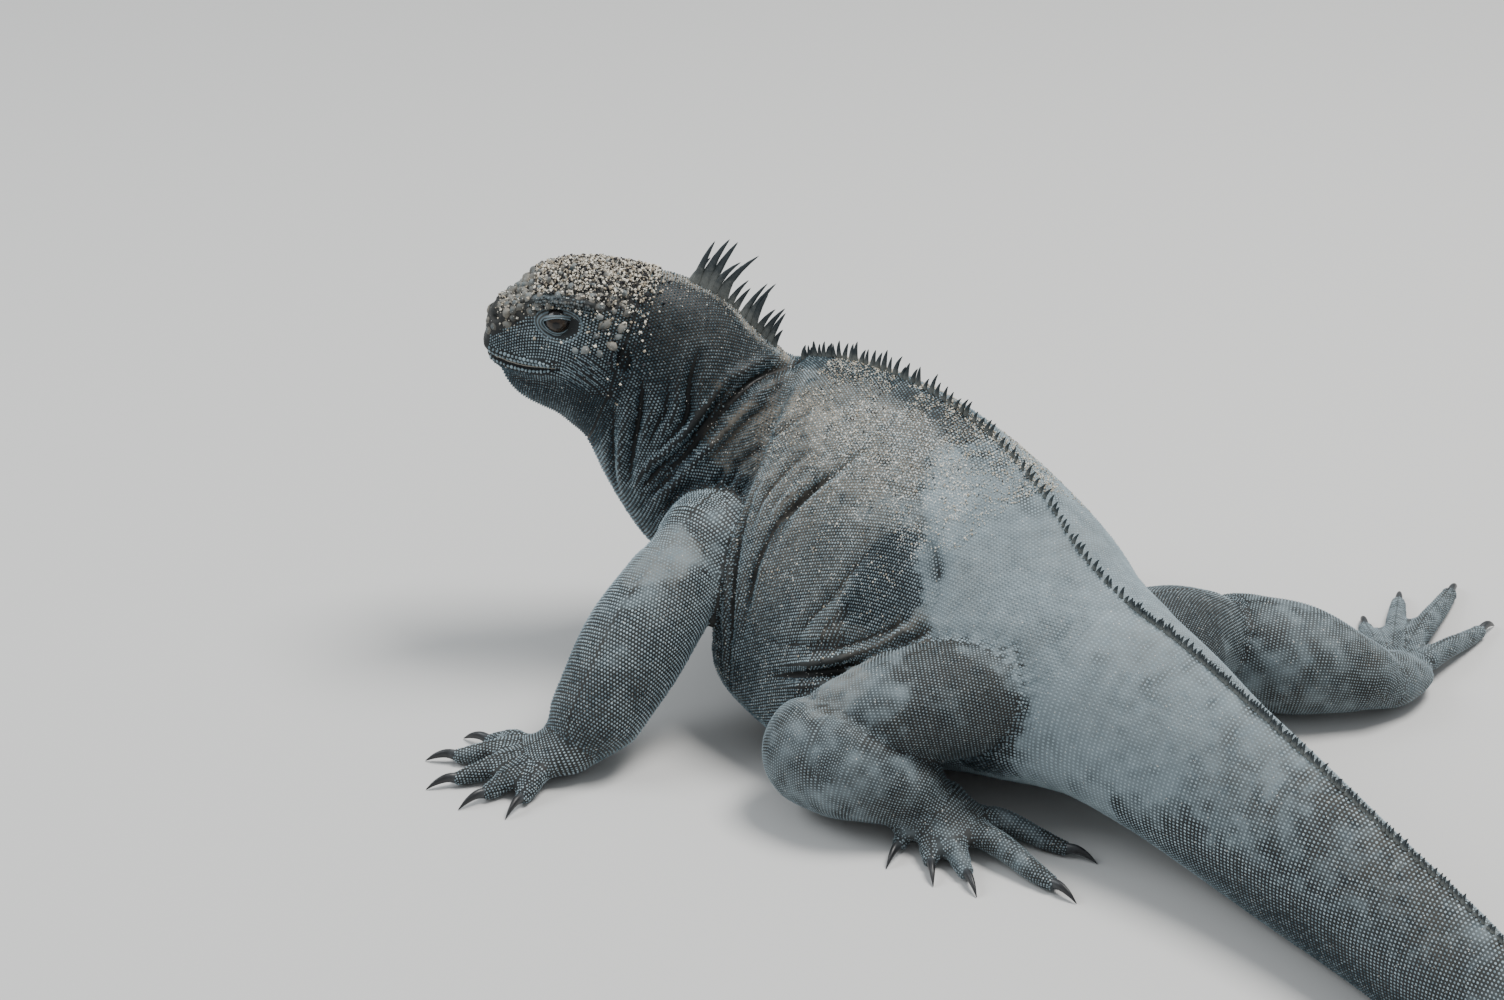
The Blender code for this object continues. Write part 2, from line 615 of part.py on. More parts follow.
LIMBS = (
    Limb(
        "left", ("upper_arm", "forearm", "hand"),
        ((-14.9, -3.4, 6.2, 2.0, 2.1), (-14.5, -5.4, 6.5, 1.9, 1.9), (-14.1, -6.8, 6.2, 1.55, 1.55)),
        ((-13.9, -7.4, 5.75, 1.75, 1.75), (-13.3, -9.75, 4.0, 2.0, 1.95), (-12.7, -12.0, 2.0, 1.75, 1.6)),
        ((-12.7, -12.1, 1.4, 1.3, 1.1), (-13.0, -13.3, 0.95, 1.4, 0.9), (-13.4, -14.1, 0.65, 1.2, 0.62)),
        fan(Vector((-13.3, -14.0, 0.6)), 248.0, TOE_LENGTH_HAND, (48, 22, 2, -20, -46),
            (0.75, 0.45, 0.0, -0.45, -0.75)),
    ),
    Limb(
        "right", ("upper_arm", "forearm", "hand"),
        ((-14.6, 3.0, 6.0, 2.0, 2.0), (-13.9, 5.0, 6.2, 1.8, 1.8), (-13.2, 6.7, 6.0, 1.5, 1.5)),
        ((-12.9, 7.2, 5.6, 1.65, 1.65), (-13.5, 8.6, 3.9, 1.75, 1.7), (-14.6, 9.9, 1.8, 1.25, 1.3)),
        ((-14.7, 10.0, 1.3, 1.1, 1.0), (-15.4, 10.9, 0.9, 1.3, 0.9), (-15.9, 11.5, 0.65, 1.2, 0.62)),
        fan(Vector((-15.8, 11.4, 0.6)), 130.0, TOE_LENGTH_HAND, (-48, -22, -2, 20, 46),
            (-0.75, -0.45, 0.0, 0.45, 0.75)),
    ),
    Limb(
        "left", ("thigh", "shank", "foot"),
        ((-1.0, -1.4, 5.0, 2.5, 2.3), (-3.3, -4.7, 4.2, 2.3, 2.0), (-4.9, -6.7, 3.2, 1.75, 1.65)),
        ((-5.2, -7.5, 2.4, 2.0, 2.1), (-3.6, -7.0, 2.4, 2.0, 2.1), (-1.8, -5.9, 1.75, 1.35, 1.35)),
        ((-1.9, -5.9, 1.5, 1.2, 1.1), (-1.1, -5.2, 1.15, 1.4, 0.95), (-0.3, -4.8, 0.7, 1.4, 0.65)),
        (
            toe_rows(Vector((-1.8, -5.8, 0.7)), Vector((-1.1, -7.0, 0.3)), TOE_RADIUS * 0.9),
            toe_rows(Vector((-1.3, -5.6, 0.7)), Vector((0.4, -6.8, 0.3)), TOE_RADIUS * 0.95),
            toe_rows(Vector((-0.8, -5.3, 0.7)), Vector((1.7, -6.3, 0.3)), TOE_RADIUS),
            toe_rows(Vector((-0.3, -4.8, 0.7)), Vector((4.0, -4.4, 0.3)), TOE_RADIUS * 1.05),
            toe_rows(Vector((-1.1, -4.2, 0.75)), Vector((2.6, -2.5, 0.3)), TOE_RADIUS * 0.95),
        ),
    ),
    Limb(
        "right", ("thigh", "shank", "foot"),
        ((-1.2, 3.2, 4.2, 2.5, 2.3), (-1.9, 6.6, 3.7, 2.3, 2.1), (-2.0, 9.2, 2.9, 1.7, 1.7)),
        ((-1.9, 9.8, 2.4, 2.1, 2.1), (0.1, 11.5, 2.2, 2.1, 2.1), (1.9, 13.4, 1.6, 1.35, 1.3)),
        ((2.0, 13.7, 1.3, 1.25, 1.1), (1.6, 15.0, 1.0, 1.4, 0.95), (1.1, 16.3, 0.7, 1.3, 0.65)),
        (
            toe_rows(Vector((0.6, 14.9, 0.7)), Vector((-1.4, 15.6, 0.3)), TOE_RADIUS * 0.9),
            toe_rows(Vector((0.4, 15.6, 0.7)), Vector((-2.6, 18.0, 0.3)), TOE_RADIUS * 0.95),
            toe_rows(Vector((0.5, 16.2, 0.7)), Vector((-3.3, 20.6, 0.3)), TOE_RADIUS),
            toe_rows(Vector((0.8, 16.4, 0.7)), Vector((-2.6, 22.8, 0.3)), TOE_RADIUS * 1.05),
            toe_rows(Vector((1.7, 15.8, 0.75)), Vector((0.3, 21.4, 0.3)), TOE_RADIUS * 0.95),
        ),
    ),
)


def claw(name, toe, parts, horn):
    """Return a curved, tapered claw that starts face to face with its toe."""
    tip = Vector(toe[-1][:3])
    way = (tip - Vector(toe[-2][:3])).normalized()
    level = Vector((way.x, way.y, 0.0)).normalized()
    start = tip + way * GAP
    rings = []
    for along, lift, size in ((0.0, 0.0, 1.0), (0.35, 0.07, 0.86), (0.7, -0.02, 0.56), (1.0, -0.2, 0.12)):
        radius = CLAW_RADIUS * size
        place = start + level * CLAW_LENGTH * along + Vector((0.0, 0.0, CLAW_LENGTH * lift))
        place.z = max(place.z, GROUND + radius + 0.01)
        rings.append([*place, radius * 0.8, radius])
    shape = limb_rings(rings, 1, CLAW_SIDES, True, False, False)
    flat = []
    aside = way.cross(Vector((0.0, 0.0, 1.0))).normalized()
    upward = aside.cross(way)
    for index in range(CLAW_SIDES):
        angle = 2 * math.pi * (index + 0.5) / CLAW_SIDES - math.pi / 2
        flat.append(start + aside * math.cos(angle) * CLAW_RADIUS * 0.8 + upward * math.sin(angle) * CLAW_RADIUS)
    shape[0] = flat
    piece = loft(name, shape, parts)
    piece.data.materials.append(horn)
    return piece


def build_limb(limb, nodes, whole_body, parts, tools, skin, horn):
    """Build the three nodes and five claws of one leg, each cut clear of what it grows from."""
    neighbours = [whole_body]
    shapes = dict(zip(limb.names, (limb.upper, limb.lower, limb.palm)))
    for part in (limb.names[1], limb.names[0], limb.names[2]):
        rows = shapes[part]
        name = f"{part}_{limb.label}"
        piece = loft(name, limb_rings(rows, LIMB_STEPS, LIMB_SIDES), parts)
        piece.data.materials.append(skin)
        if part in ("hand", "foot"):
            toes = [
                loft("toe", limb_rings(toe, 1, TOE_SIDES, True, False, False), tools)
                for toe in limb.toes
            ]
            apply_boolean(piece, toes, "UNION", tools)
        cutters = [loft("clear", rings, tools, GAP) for rings in neighbours]
        apply_boolean(piece, cutters, "DIFFERENCE", tools)
        neighbours.append(limb_rings(rows, LIMB_STEPS, LIMB_SIDES, False))
        nodes[name] = piece
    end = "fore" if limb.names[0] == "upper_arm" else "hind"
    for number, toe in enumerate(limb.toes, 1):
        name = f"claw_{end}_{limb.label}_{number}"
        nodes[name] = claw(name, toe, parts, horn)


def centre_footprint(nodes):
    """Move every node so that the middle of the footprint is the origin."""
    corners = [vert.co for node in nodes.values() for vert in node.data.vertices]
    middle_x = (min(c.x for c in corners) + max(c.x for c in corners)) / 2
    middle_y = (min(c.y for c in corners) + max(c.y for c in corners)) / 2
    move = Matrix.Translation(Vector((-middle_x, -middle_y, 0.0)))
    for node in nodes.values():
        node.data.transform(move)
    return middle_x, middle_y


def main():
    """Build the whole animal."""
    for piece in list(bpy.data.objects):
        bpy.data.objects.remove(piece)
    parts = bpy.data.collections.new("marine_iguana")
    tools = bpy.data.collections.new("cutters")
    for collection in (parts, tools):
        bpy.context.scene.collection.children.link(collection)
    skin = skin_material("slate_skin", (0.085, 0.1, 0.11), 0.75)
    eye_material = skin_material("eye_brown", (0.03, 0.02, 0.015), 0.1)
    horn = skin_material("claw_horn", (0.03, 0.03, 0.032), 0.45)
    nodes = build_body(parts, tools, skin)
    finish_head(nodes, parts, tools, eye_material)
    whole = HEAD[:-1] + NECK[:-1] + TORSO[:-1] + TAIL
    whole_body = body_rings(whole, BODY_STEPS, False)
    for limb in LIMBS:
        build_limb(limb, nodes, whole_body, parts, tools, skin, horn)
    shift = centre_footprint(nodes)
    for node in nodes.values():
        node.data.shade_smooth()
        node.data.set_sharp_from_angle(angle=math.radians(40))
    print("footprint centre moved by", shift)


main()
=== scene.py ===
"""The looks of a marine iguana model: skin, scales, crest, head and claws.

Lengths in the tables are centimetres in the maker's frame: the head looks along -X,
its left side is -Y, and heights are above the floor. Pieces are placed in metres,
moved so that the middle of the footprint is the origin.
"""
from __future__ import annotations

import logging
import math
from dataclasses import dataclass, field
from enum import Enum
from typing import Callable, Sequence

import bmesh
import bpy
import numpy as np
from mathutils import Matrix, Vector
from mathutils.bvhtree import BVHTree
from mathutils.kdtree import KDTree

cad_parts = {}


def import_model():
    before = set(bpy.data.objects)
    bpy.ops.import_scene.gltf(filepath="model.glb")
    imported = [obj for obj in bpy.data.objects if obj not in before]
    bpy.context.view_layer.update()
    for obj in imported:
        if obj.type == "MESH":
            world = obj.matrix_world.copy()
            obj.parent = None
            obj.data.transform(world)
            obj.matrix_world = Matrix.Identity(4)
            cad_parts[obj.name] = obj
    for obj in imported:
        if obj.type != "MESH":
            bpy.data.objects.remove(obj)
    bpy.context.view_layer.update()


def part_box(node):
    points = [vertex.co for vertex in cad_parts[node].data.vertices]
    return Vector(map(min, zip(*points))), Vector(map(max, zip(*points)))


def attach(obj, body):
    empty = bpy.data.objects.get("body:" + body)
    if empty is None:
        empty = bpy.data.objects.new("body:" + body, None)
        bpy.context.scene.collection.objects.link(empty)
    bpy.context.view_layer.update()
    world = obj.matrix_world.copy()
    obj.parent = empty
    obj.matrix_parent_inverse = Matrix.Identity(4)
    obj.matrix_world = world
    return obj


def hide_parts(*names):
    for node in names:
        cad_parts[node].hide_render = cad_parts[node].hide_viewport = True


LOG = logging.getLogger("iguana")
CM = 0.01
FOOTPRINT_MIDDLE = np.array([12.823576, 2.907729, 0.0])
SEED = 11


class Region(Enum):
    """The part of the animal that a form belongs to."""

    BODY = "body"
    ARM = "arm"
    HAND = "hand"
    LEG = "leg"
    FOOT = "foot"


class GrainShape(Enum):
    """How a scale stands off the skin: sides of its outline and rings of its dome."""

    GRANULE = (6, (1.0,), (0.0,))
    PLATE = (7, (1.0, 0.8, 0.42), (0.0, 0.62, 0.93))
    CONE = (7, (1.0, 0.66, 0.3), (0.0, 0.55, 0.88))


def to_row(points: np.ndarray) -> np.ndarray:
    """Return points of the maker's frame, in centimetres, in metres about the footprint."""
    return (np.asarray(points, float) - FOOTPRINT_MIDDLE) * CM


def to_maker(points: np.ndarray) -> np.ndarray:
    """Return points in metres about the footprint in the maker's frame, in centimetres."""
    return np.asarray(points, float) / CM + FOOTPRINT_MIDDLE


def unit(vectors: np.ndarray) -> np.ndarray:
    """Return vectors scaled to a length of one."""
    lengths = np.linalg.norm(vectors, axis=-1, keepdims=True)
    return vectors / np.maximum(lengths, 1e-9)


def smooth_step(values: np.ndarray, low: float, high: float) -> np.ndarray:
    """Return 0 below low, 1 above high and a soft rise between them."""
    t = np.clip((np.asarray(values, float) - low) / (high - low), 0.0, 1.0)
    return t * t * (3 - 2 * t)


def patchy(points: np.ndarray, size: float, seed: int) -> np.ndarray:
    """Return soft random patches between 0 and 1.

    Args:
        points: places, in centimetres.
        size: the distance between one patch and the next.
        seed: which pattern is drawn.

    Returns:
        One value for each place.
    """
    cell = np.floor(points / size).astype(np.int64)
    part = points / size - cell
    part = part * part * (3 - 2 * part)
    total = np.zeros(len(points))
    for corner in range(8):
        step = np.array([corner & 1, corner >> 1 & 1, corner >> 2 & 1])
        key = cell + step
        mixed = key[:, 0] * 73856093 ^ key[:, 1] * 19349663 ^ key[:, 2] * 83492791 ^ seed * 2654435761
        mixed = (mixed ^ (mixed >> 13)) * 1274126177 & 0xFFFFFFFF
        mixed = (mixed ^ (mixed >> 16)) & 0xFFFF
        share = np.where(step == 1, part, 1 - part).prod(axis=1)
        total += share * mixed / 65535.0
    return total


def through(rows: np.ndarray, places: np.ndarray) -> np.ndarray:
    """Return rows on a smooth curve through the given rows, at fractional places."""
    count = len(rows)
    padded = np.vstack([2 * rows[0] - rows[1], rows, 2 * rows[-1] - rows[-2]])
    index = np.clip(np.floor(places).astype(int), 0, count - 2)
    t = (places - index)[:, None]
    a, b, c, d = (padded[index + k] for k in range(4))
    return 0.5 * (2 * b + (c - a) * t + (2 * a - 5 * b + 4 * c - d) * t * t
                  + (3 * b - a - 3 * c + d) * t ** 3)


@dataclass
class Tube:
    """A smooth form with rounded sections, known by a place along it and a turn round it.

    The turn is in radians from the crest: positive to the form's left, negative to
    its right. Lengths are in centimetres.
    """

    region: Region
    centre: np.ndarray
    leftward: np.ndarray
    upward: np.ndarray
    left: np.ndarray
    right: np.ndarray
    above: np.ndarray
    below: np.ndarray
    roof: np.ndarray
    keel: np.ndarray
    fine: int

    @property
    def length(self) -> float:
        """Return the last place along the form."""
        return (len(self.centre) - 1) / self.fine

    def at(self, along: np.ndarray, turn: np.ndarray) -> np.ndarray:
        """Return points of the surface.

        Args:
            along: places along the form, as numbers of its rows.
            turn: turns from the crest, in radians.

        Returns:
            Points in centimetres, one for each pair.
        """
        along, turn = np.broadcast_arrays(np.asarray(along, float), np.asarray(turn, float))
        step = np.clip(along * self.fine, 0, len(self.centre) - 1)
        low = np.minimum(np.floor(step).astype(int), len(self.centre) - 2)
        part = step - low

        def mixed(values: np.ndarray) -> np.ndarray:
            """Return values between one dense row and the next."""
            share = part[..., None] if values.ndim == 2 else part
            return values[low] * (1 - share) + values[low + 1] * share

        sine, cosine = np.sin(turn), np.cos(turn)
        power = np.where(cosine > 0, mixed(self.roof), mixed(self.keel))
        across = np.sign(sine) * np.abs(sine) ** (2 / power)
        rise = np.sign(cosine) * np.abs(cosine) ** (2 / power)
        half = np.where(across > 0, mixed(self.left), mixed(self.right))
        lift = np.where(rise > 0, mixed(self.above), mixed(self.below))
        points = (mixed(self.centre) + mixed(self.leftward) * (across * half)[..., None]
                  + mixed(self.upward) * (rise * lift)[..., None])
        points[..., 2] = np.maximum(points[..., 2], 0.0)
        return points

    def grid(self, steps: int, sides: int) -> tuple[np.ndarray, np.ndarray, np.ndarray]:
        """Return a grid of points with the place and turn of each."""
        along = np.linspace(0, self.length, steps)[:, None]
        turn = (np.arange(sides) / sides * 2 * np.pi - np.pi)[None, :]
        along, turn = np.broadcast_arrays(along, turn)
        return self.at(along, turn), along, turn


# The snout's tip, the way the head looks and its left side.
SNOUT = np.array([-23.16, -9.53, 0.0])
HEADING = unit(np.array([-0.602, -0.799, 0.0]))
HEAD_LEFT = unit(np.array([0.799, -0.602, 0.0]))
UPWARD = np.array([0.0, 0.0, 1.0])


def head_point(back: float, side: float, height: float) -> np.ndarray:
    """Return a point of the head: back from the snout, out to its left, and up."""
    return SNOUT - HEADING * back + HEAD_LEFT * side + UPWARD * height


def head_row(back: float, top: float, low_back: float, bottom: float, half_width: float) -> list[float]:
    """Return a section of the head that leans back towards the nape."""
    sides_and_powers = [half_width, half_width, 0.5, 2.1, 2.0]
    return [*head_point(back, 0, top), *head_point(low_back, 0, bottom), *sides_and_powers]


def body_row(x: float, y: float, top: float, bottom: float, left: float, right: float, level: float,
             roof: float, keel: float, swing: tuple[float, float] = (0.0, 0.0)) -> list[float]:
    """Return an upright section whose keel may swing away from under its crest."""
    return [x, y, top, x + swing[0], y + swing[1], bottom, left, right, level, roof, keel]


BODY_ROWS = np.array([
    head_row(0.0, 13.45, 0.02, 12.75, 0.34),
    head_row(0.10, 13.95, 0.10, 12.35, 0.78),
    head_row(0.42, 14.4, 0.36, 11.85, 1.15),
    head_row(1.0, 14.95, 0.85, 11.15, 1.48),
    head_row(1.75, 15.45, 1.35, 10.65, 1.80),
    head_row(2.6, 15.8, 1.95, 10.3, 2.10),
    head_row(3.7, 15.95, 2.6, 10.0, 2.38),
    head_row(4.9, 15.85, 3.2, 9.5, 2.48),
    head_row(6.2, 15.6, 3.8, 8.8, 2.36),
    [-18.55, -3.45, 15.25, -20.45, -5.93, 7.2, 2.75, 2.5, 0.48, 1.9, 2.1],
    [-17.75, -2.3, 14.45, -19.8, -5.0, 5.2, 3.3, 2.8, 0.46, 1.8, 2.2],
    [-16.9, -1.15, 12.95, -18.9, -3.7, 3.5, 4.0, 3.1, 0.42, 1.8, 2.3],
    [-16.15, -0.2, 12.0, -17.5, -2.2, 1.4, 5.4, 3.6, 0.34, 1.8, 2.4],
    body_row(-14.9, 0.35, 12.4, 0.5, 6.9, 4.1, 0.27, 1.75, 2.4, (-0.8, -0.9)),
    body_row(-12.6, 0.95, 12.6, 0.05, 8.1, 4.6, 0.22, 1.65, 2.5, (-0.3, -0.5)),
    body_row(-9.6, 1.4, 12.4, -0.08, 8.75, 4.8, 0.2, 1.65, 2.6),
    body_row(-6.6, 1.75, 11.6, -0.08, 8.5, 4.7, 0.21, 1.65, 2.6),
    body_row(-3.5, 1.5, 10.5, 0.15, 6.7, 4.4, 0.27, 1.75, 2.5),
    body_row(-1.0, 1.05, 9.4, 0.7, 5.1, 3.9, 0.33, 1.85, 2.3),
    body_row(1.6, 0.9, 8.6, 1.25, 3.9, 3.5, 0.36, 1.9, 2.2),
    body_row(4.4, 0.95, 8.1, 0.85, 3.2, 3.1, 0.40, 1.7, 2.1),
    body_row(7.4, 0.9, 7.4, 0.25, 2.6, 2.5, 0.44, 1.6, 2.0),
    body_row(10.6, 0.75, 6.7, -0.06, 2.2, 2.2, 0.46, 1.6, 2.0),
    body_row(15.0, 0.3, 5.9, -0.06, 1.8, 1.8, 0.47, 1.6, 2.0),
    body_row(20.0, -0.5, 5.3, -0.06, 1.5, 1.5, 0.48, 1.6, 2.0),
    body_row(25.5, -1.9, 4.6, -0.06, 1.22, 1.22, 0.48, 1.6, 2.0),
    body_row(31.0, -3.7, 3.8, -0.06, 0.98, 0.98, 0.48, 1.6, 2.0),
    body_row(36.5, -5.2, 2.9, -0.06, 0.75, 0.75, 0.48, 1.6, 2.0),
    body_row(42.0, -5.7, 1.9, -0.06, 0.52, 0.52, 0.48, 1.6, 2.0),
    body_row(46.5, -5.2, 1.0, -0.05, 0.32, 0.32, 0.48, 1.7, 2.0),
    body_row(49.5, -4.4, 0.42, 0.0, 0.16, 0.16, 0.5, 2.0, 2.0),
])
HEAD_END = 8
NECK_END = 12
TRUNK_END = 19
TAIL_END = 30


def body_tube() -> Tube:
    """Return the form of head, neck, trunk and tail."""
    fine = 8
    places = np.linspace(0, len(BODY_ROWS) - 1, (len(BODY_ROWS) - 1) * fine + 1)
    rows = through(BODY_ROWS, places)
    top, bottom = rows[:, 0:3], rows[:, 3:6]
    ahead = through(BODY_ROWS, np.clip(places + 0.5, 0, len(BODY_ROWS) - 1))
    behind = through(BODY_ROWS, np.clip(places - 0.5, 0, len(BODY_ROWS) - 1))
    way = unit((ahead[:, 0:3] + ahead[:, 3:6] - behind[:, 0:3] - behind[:, 3:6]) / 2)
    height = np.linalg.norm(top - bottom, axis=1)
    upward = unit(top - bottom)
    leftward = unit(np.cross(way, upward))
    left, right, level, roof, keel = rows[:, 6:11].T
    centre = bottom + upward * (height * level)[:, None]
    return Tube(Region.BODY, centre, leftward, upward, left, right, height * (1 - level),
                height * level, roof, keel, fine)


def limb_tube(region: Region, rows: Sequence[Sequence[float]], start_cap: bool = True, fine: int = 6) -> Tube:
    """Return the form of one length of limb.

    Args:
        region: what it belongs to.
        rows: places with a half width and a half height.
        start_cap: whether its first end is rounded, as its last end is.
        fine: dense rows for each row given.

    Returns:
        The form, with its rounded ends.
    """
    table = np.array(rows, float)
    places = np.linspace(0, len(table) - 1, (len(table) - 1) * fine + 1)
    dense = through(table, places)
    point, size = dense[:, :3], dense[:, 3:5]
    way = unit(np.gradient(point, axis=0))
    bends = np.radians([15, 30, 45, 60, 72, 82])
    if start_cap:
        reach = size[0].min()
        extra = [(point[0] - way[0] * reach * math.sin(a), way[0], size[0] * math.cos(a))
                 for a in bends[::-1]]
        point = np.vstack([[e[0] for e in extra], point])
        way = np.vstack([[e[1] for e in extra], way])
        size = np.vstack([[e[2] for e in extra], size])
    reach = size[-1].min()
    extra = [(point[-1] + way[-1] * reach * math.sin(a), way[-1], size[-1] * math.cos(a)) for a in bends]
    point = np.vstack([point, [e[0] for e in extra]])
    way = np.vstack([way, [e[1] for e in extra]])
    size = np.vstack([size, [e[2] for e in extra]])
    upward = unit(UPWARD - way * way[:, 2:3])
    leftward = np.cross(way, upward)
    round_form = np.full(len(point), 2.0)
    return Tube(region, point, leftward, upward, size[:, 0], size[:, 0], size[:, 1], size[:, 1],
                round_form, round_form, fine)


TOE_RADIUS = 0.46
TOE_LENGTH_HAND = (1.7, 2.5, 3.1, 3.0, 2.1)
CLAW_LENGTH = 1.25
CLAW_RADIUS = 0.19


def toe_rows(base: Sequence[float], tip: Sequence[float], radius: float) -> list[list[float]]:
    """Return the rows of one toe, arched at its knuckle."""
    start, end = np.array(base, float), np.array(tip, float)
    knuckle = start + (end - start) * 0.45
    knuckle[2] = start[2] * 0.5 + end[2] * 0.5 + 0.22
    near_tip = start + (end - start) * 0.8
    near_tip[2] = end[2] + 0.12
    return [
        [*start, radius * 1.05, radius],
        [*knuckle, radius * 0.95, radius * 0.95],
        [*near_tip, radius * 0.8, radius * 0.8],
        [*end, radius * 0.66, radius * 0.66],
    ]


def fan(base: Sequence[float], bearing: float, spreads: Sequence[float],
        roots: Sequence[float]) -> list[list[list[float]]]:
    """Return the rows of a hand's toes from their bearings in degrees and root offsets."""
    toes = []
    aside = np.array([-math.sin(math.radians(bearing)), math.cos(math.radians(bearing)), 0.0])
    for length, spread, root in zip(TOE_LENGTH_HAND, spreads, roots):
        angle = math.radians(bearing + spread)
        start = np.array(base, float) + aside * root
        end = start + np.array([math.cos(angle), math.sin(angle), 0.0]) * length
        end[2] = 0.3
        toes.append(toe_rows(start, end, TOE_RADIUS))
    return toes


@dataclass(frozen=True)
class Limb:
    """One leg: the rows of its two lengths and palm, and of its toes."""

    label: str
    fore: bool
    upper: tuple[tuple[float, ...], ...]
    lower: tuple[tuple[float, ...], ...]
    palm: tuple[tuple[float, ...], ...]
    toes: list[list[list[float]]]

    def tubes(self) -> list[Tube]:
        """Return the forms of the leg, from the shoulder or hip to the toes."""
        upper = Region.ARM if self.fore else Region.LEG
        end = Region.HAND if self.fore else Region.FOOT
        return [limb_tube(upper, self.upper), limb_tube(upper, self.lower), limb_tube(end, self.palm),
                *(limb_tube(end, toe) for toe in self.toes)]


LIMBS = (
    Limb("fore_left", True,
         ((-14.9, -3.4, 6.2, 2.0, 2.1), (-14.5, -5.4, 6.5, 1.9, 1.9), (-14.1, -6.8, 6.2, 1.55, 1.55)),
         ((-13.9, -7.4, 5.75, 1.75, 1.75), (-13.3, -9.75, 4.0, 2.0, 1.95), (-12.7, -12.0, 2.0, 1.75, 1.6)),
         ((-12.7, -12.1, 1.4, 1.3, 1.1), (-13.0, -13.3, 0.95, 1.4, 0.9), (-13.4, -14.1, 0.65, 1.2, 0.62)),
         fan((-13.3, -14.0, 0.6), 248.0, (48, 22, 2, -20, -46), (0.75, 0.45, 0.0, -0.45, -0.75))),
    Limb("fore_right", True,
         ((-14.6, 3.0, 6.0, 2.0, 2.0), (-13.9, 5.0, 6.2, 1.8, 1.8), (-13.2, 6.7, 6.0, 1.5, 1.5)),
         ((-12.9, 7.2, 5.6, 1.65, 1.65), (-13.5, 8.6, 3.9, 1.75, 1.7), (-14.6, 9.9, 1.8, 1.25, 1.3)),
         ((-14.7, 10.0, 1.3, 1.1, 1.0), (-15.4, 10.9, 0.9, 1.3, 0.9), (-15.9, 11.5, 0.65, 1.2, 0.62)),
         fan((-15.8, 11.4, 0.6), 130.0, (-48, -22, -2, 20, 46), (-0.75, -0.45, 0.0, 0.45, 0.75))),
    Limb("hind_left", False,
         ((-1.0, -1.4, 5.0, 2.5, 2.3), (-3.3, -4.7, 4.2, 2.3, 2.0), (-4.9, -6.7, 3.2, 1.75, 1.65)),
         ((-5.2, -7.5, 2.4, 2.0, 2.1), (-3.6, -7.0, 2.4, 2.0, 2.1), (-1.8, -5.9, 1.75, 1.35, 1.35)),
         ((-1.9, -5.9, 1.5, 1.2, 1.1), (-1.1, -5.2, 1.15, 1.4, 0.95), (-0.3, -4.8, 0.7, 1.4, 0.65)),
         [toe_rows((-1.8, -5.8, 0.7), (-1.1, -7.0, 0.3), TOE_RADIUS * 0.9),
          toe_rows((-1.3, -5.6, 0.7), (0.4, -6.8, 0.3), TOE_RADIUS * 0.95),
          toe_rows((-0.8, -5.3, 0.7), (1.7, -6.3, 0.3), TOE_RADIUS),
          toe_rows((-0.3, -4.8, 0.7), (4.0, -4.4, 0.3), TOE_RADIUS * 1.05),
          toe_rows((-1.1, -4.2, 0.75), (2.6, -2.5, 0.3), TOE_RADIUS * 0.95)]),
    Limb("hind_right", False,
         ((-1.2, 3.2, 4.2, 2.5, 2.3), (-1.9, 6.6, 3.7, 2.3, 2.1), (-2.0, 9.2, 2.9, 1.7, 1.7)),
         ((-1.9, 9.8, 2.4, 2.1, 2.1), (0.1, 11.5, 2.2, 2.1, 2.1), (1.9, 13.4, 1.6, 1.35, 1.3)),
         ((2.0, 13.7, 1.3, 1.25, 1.1), (1.6, 15.0, 1.0, 1.4, 0.95), (1.1, 16.3, 0.7, 1.3, 0.65)),
         [toe_rows((0.6, 14.9, 0.7), (-1.4, 15.6, 0.3), TOE_RADIUS * 0.9),
          toe_rows((0.4, 15.6, 0.7), (-2.6, 18.0, 0.3), TOE_RADIUS * 0.95),
          toe_rows((0.5, 16.2, 0.7), (-3.3, 20.6, 0.3), TOE_RADIUS),
          toe_rows((0.8, 16.4, 0.7), (-2.6, 22.8, 0.3), TOE_RADIUS * 1.05),
          toe_rows((1.7, 15.8, 0.75), (0.3, 21.4, 0.3), TOE_RADIUS * 0.95)]),
)


def clear_selection() -> None:
    """Leave nothing selected and no active object."""
    for piece in bpy.context.selected_objects:
        piece.select_set(False)
    bpy.context.view_layer.objects.active = None


def only_select(*pieces: bpy.types.Object) -> None:
    """Select these pieces alone, with the first as the active one."""
    clear_selection()
    for piece in pieces:
        piece.select_set(True)
    bpy.context.view_layer.objects.active = pieces[0]


def piece_from(name: str, points: np.ndarray, faces: Sequence[np.ndarray]) -> bpy.types.Object:
    """Return a smooth-shaded mesh object.

    Args:
        name: the object's name.
        points: vertex places in metres.
        faces: arrays of vertex numbers, each of one number of corners.

    Returns:
        The new object, at the origin.
    """
    faces = [np.asarray(group, np.int32) for group in faces if len(group)]
    corners = np.concatenate([group.ravel() for group in faces])
    sizes = np.concatenate([np.full(len(group), group.shape[1], np.int32) for group in faces])
    mesh = bpy.data.meshes.new(name)
    mesh.vertices.add(len(points))
    mesh.vertices.foreach_set("co", np.asarray(points, np.float32).ravel())
    mesh.loops.add(len(corners))
    mesh.loops.foreach_set("vertex_index", corners)
    mesh.polygons.add(len(sizes))
    mesh.polygons.foreach_set("loop_start", np.concatenate([[0], np.cumsum(sizes)[:-1]]).astype(np.int32))
    mesh.polygons.foreach_set("loop_total", sizes)
    mesh.update(calc_edges=True)
    mesh.shade_smooth()
    piece = bpy.data.objects.new(name, mesh)
    bpy.context.scene.collection.objects.link(piece)
    return piece


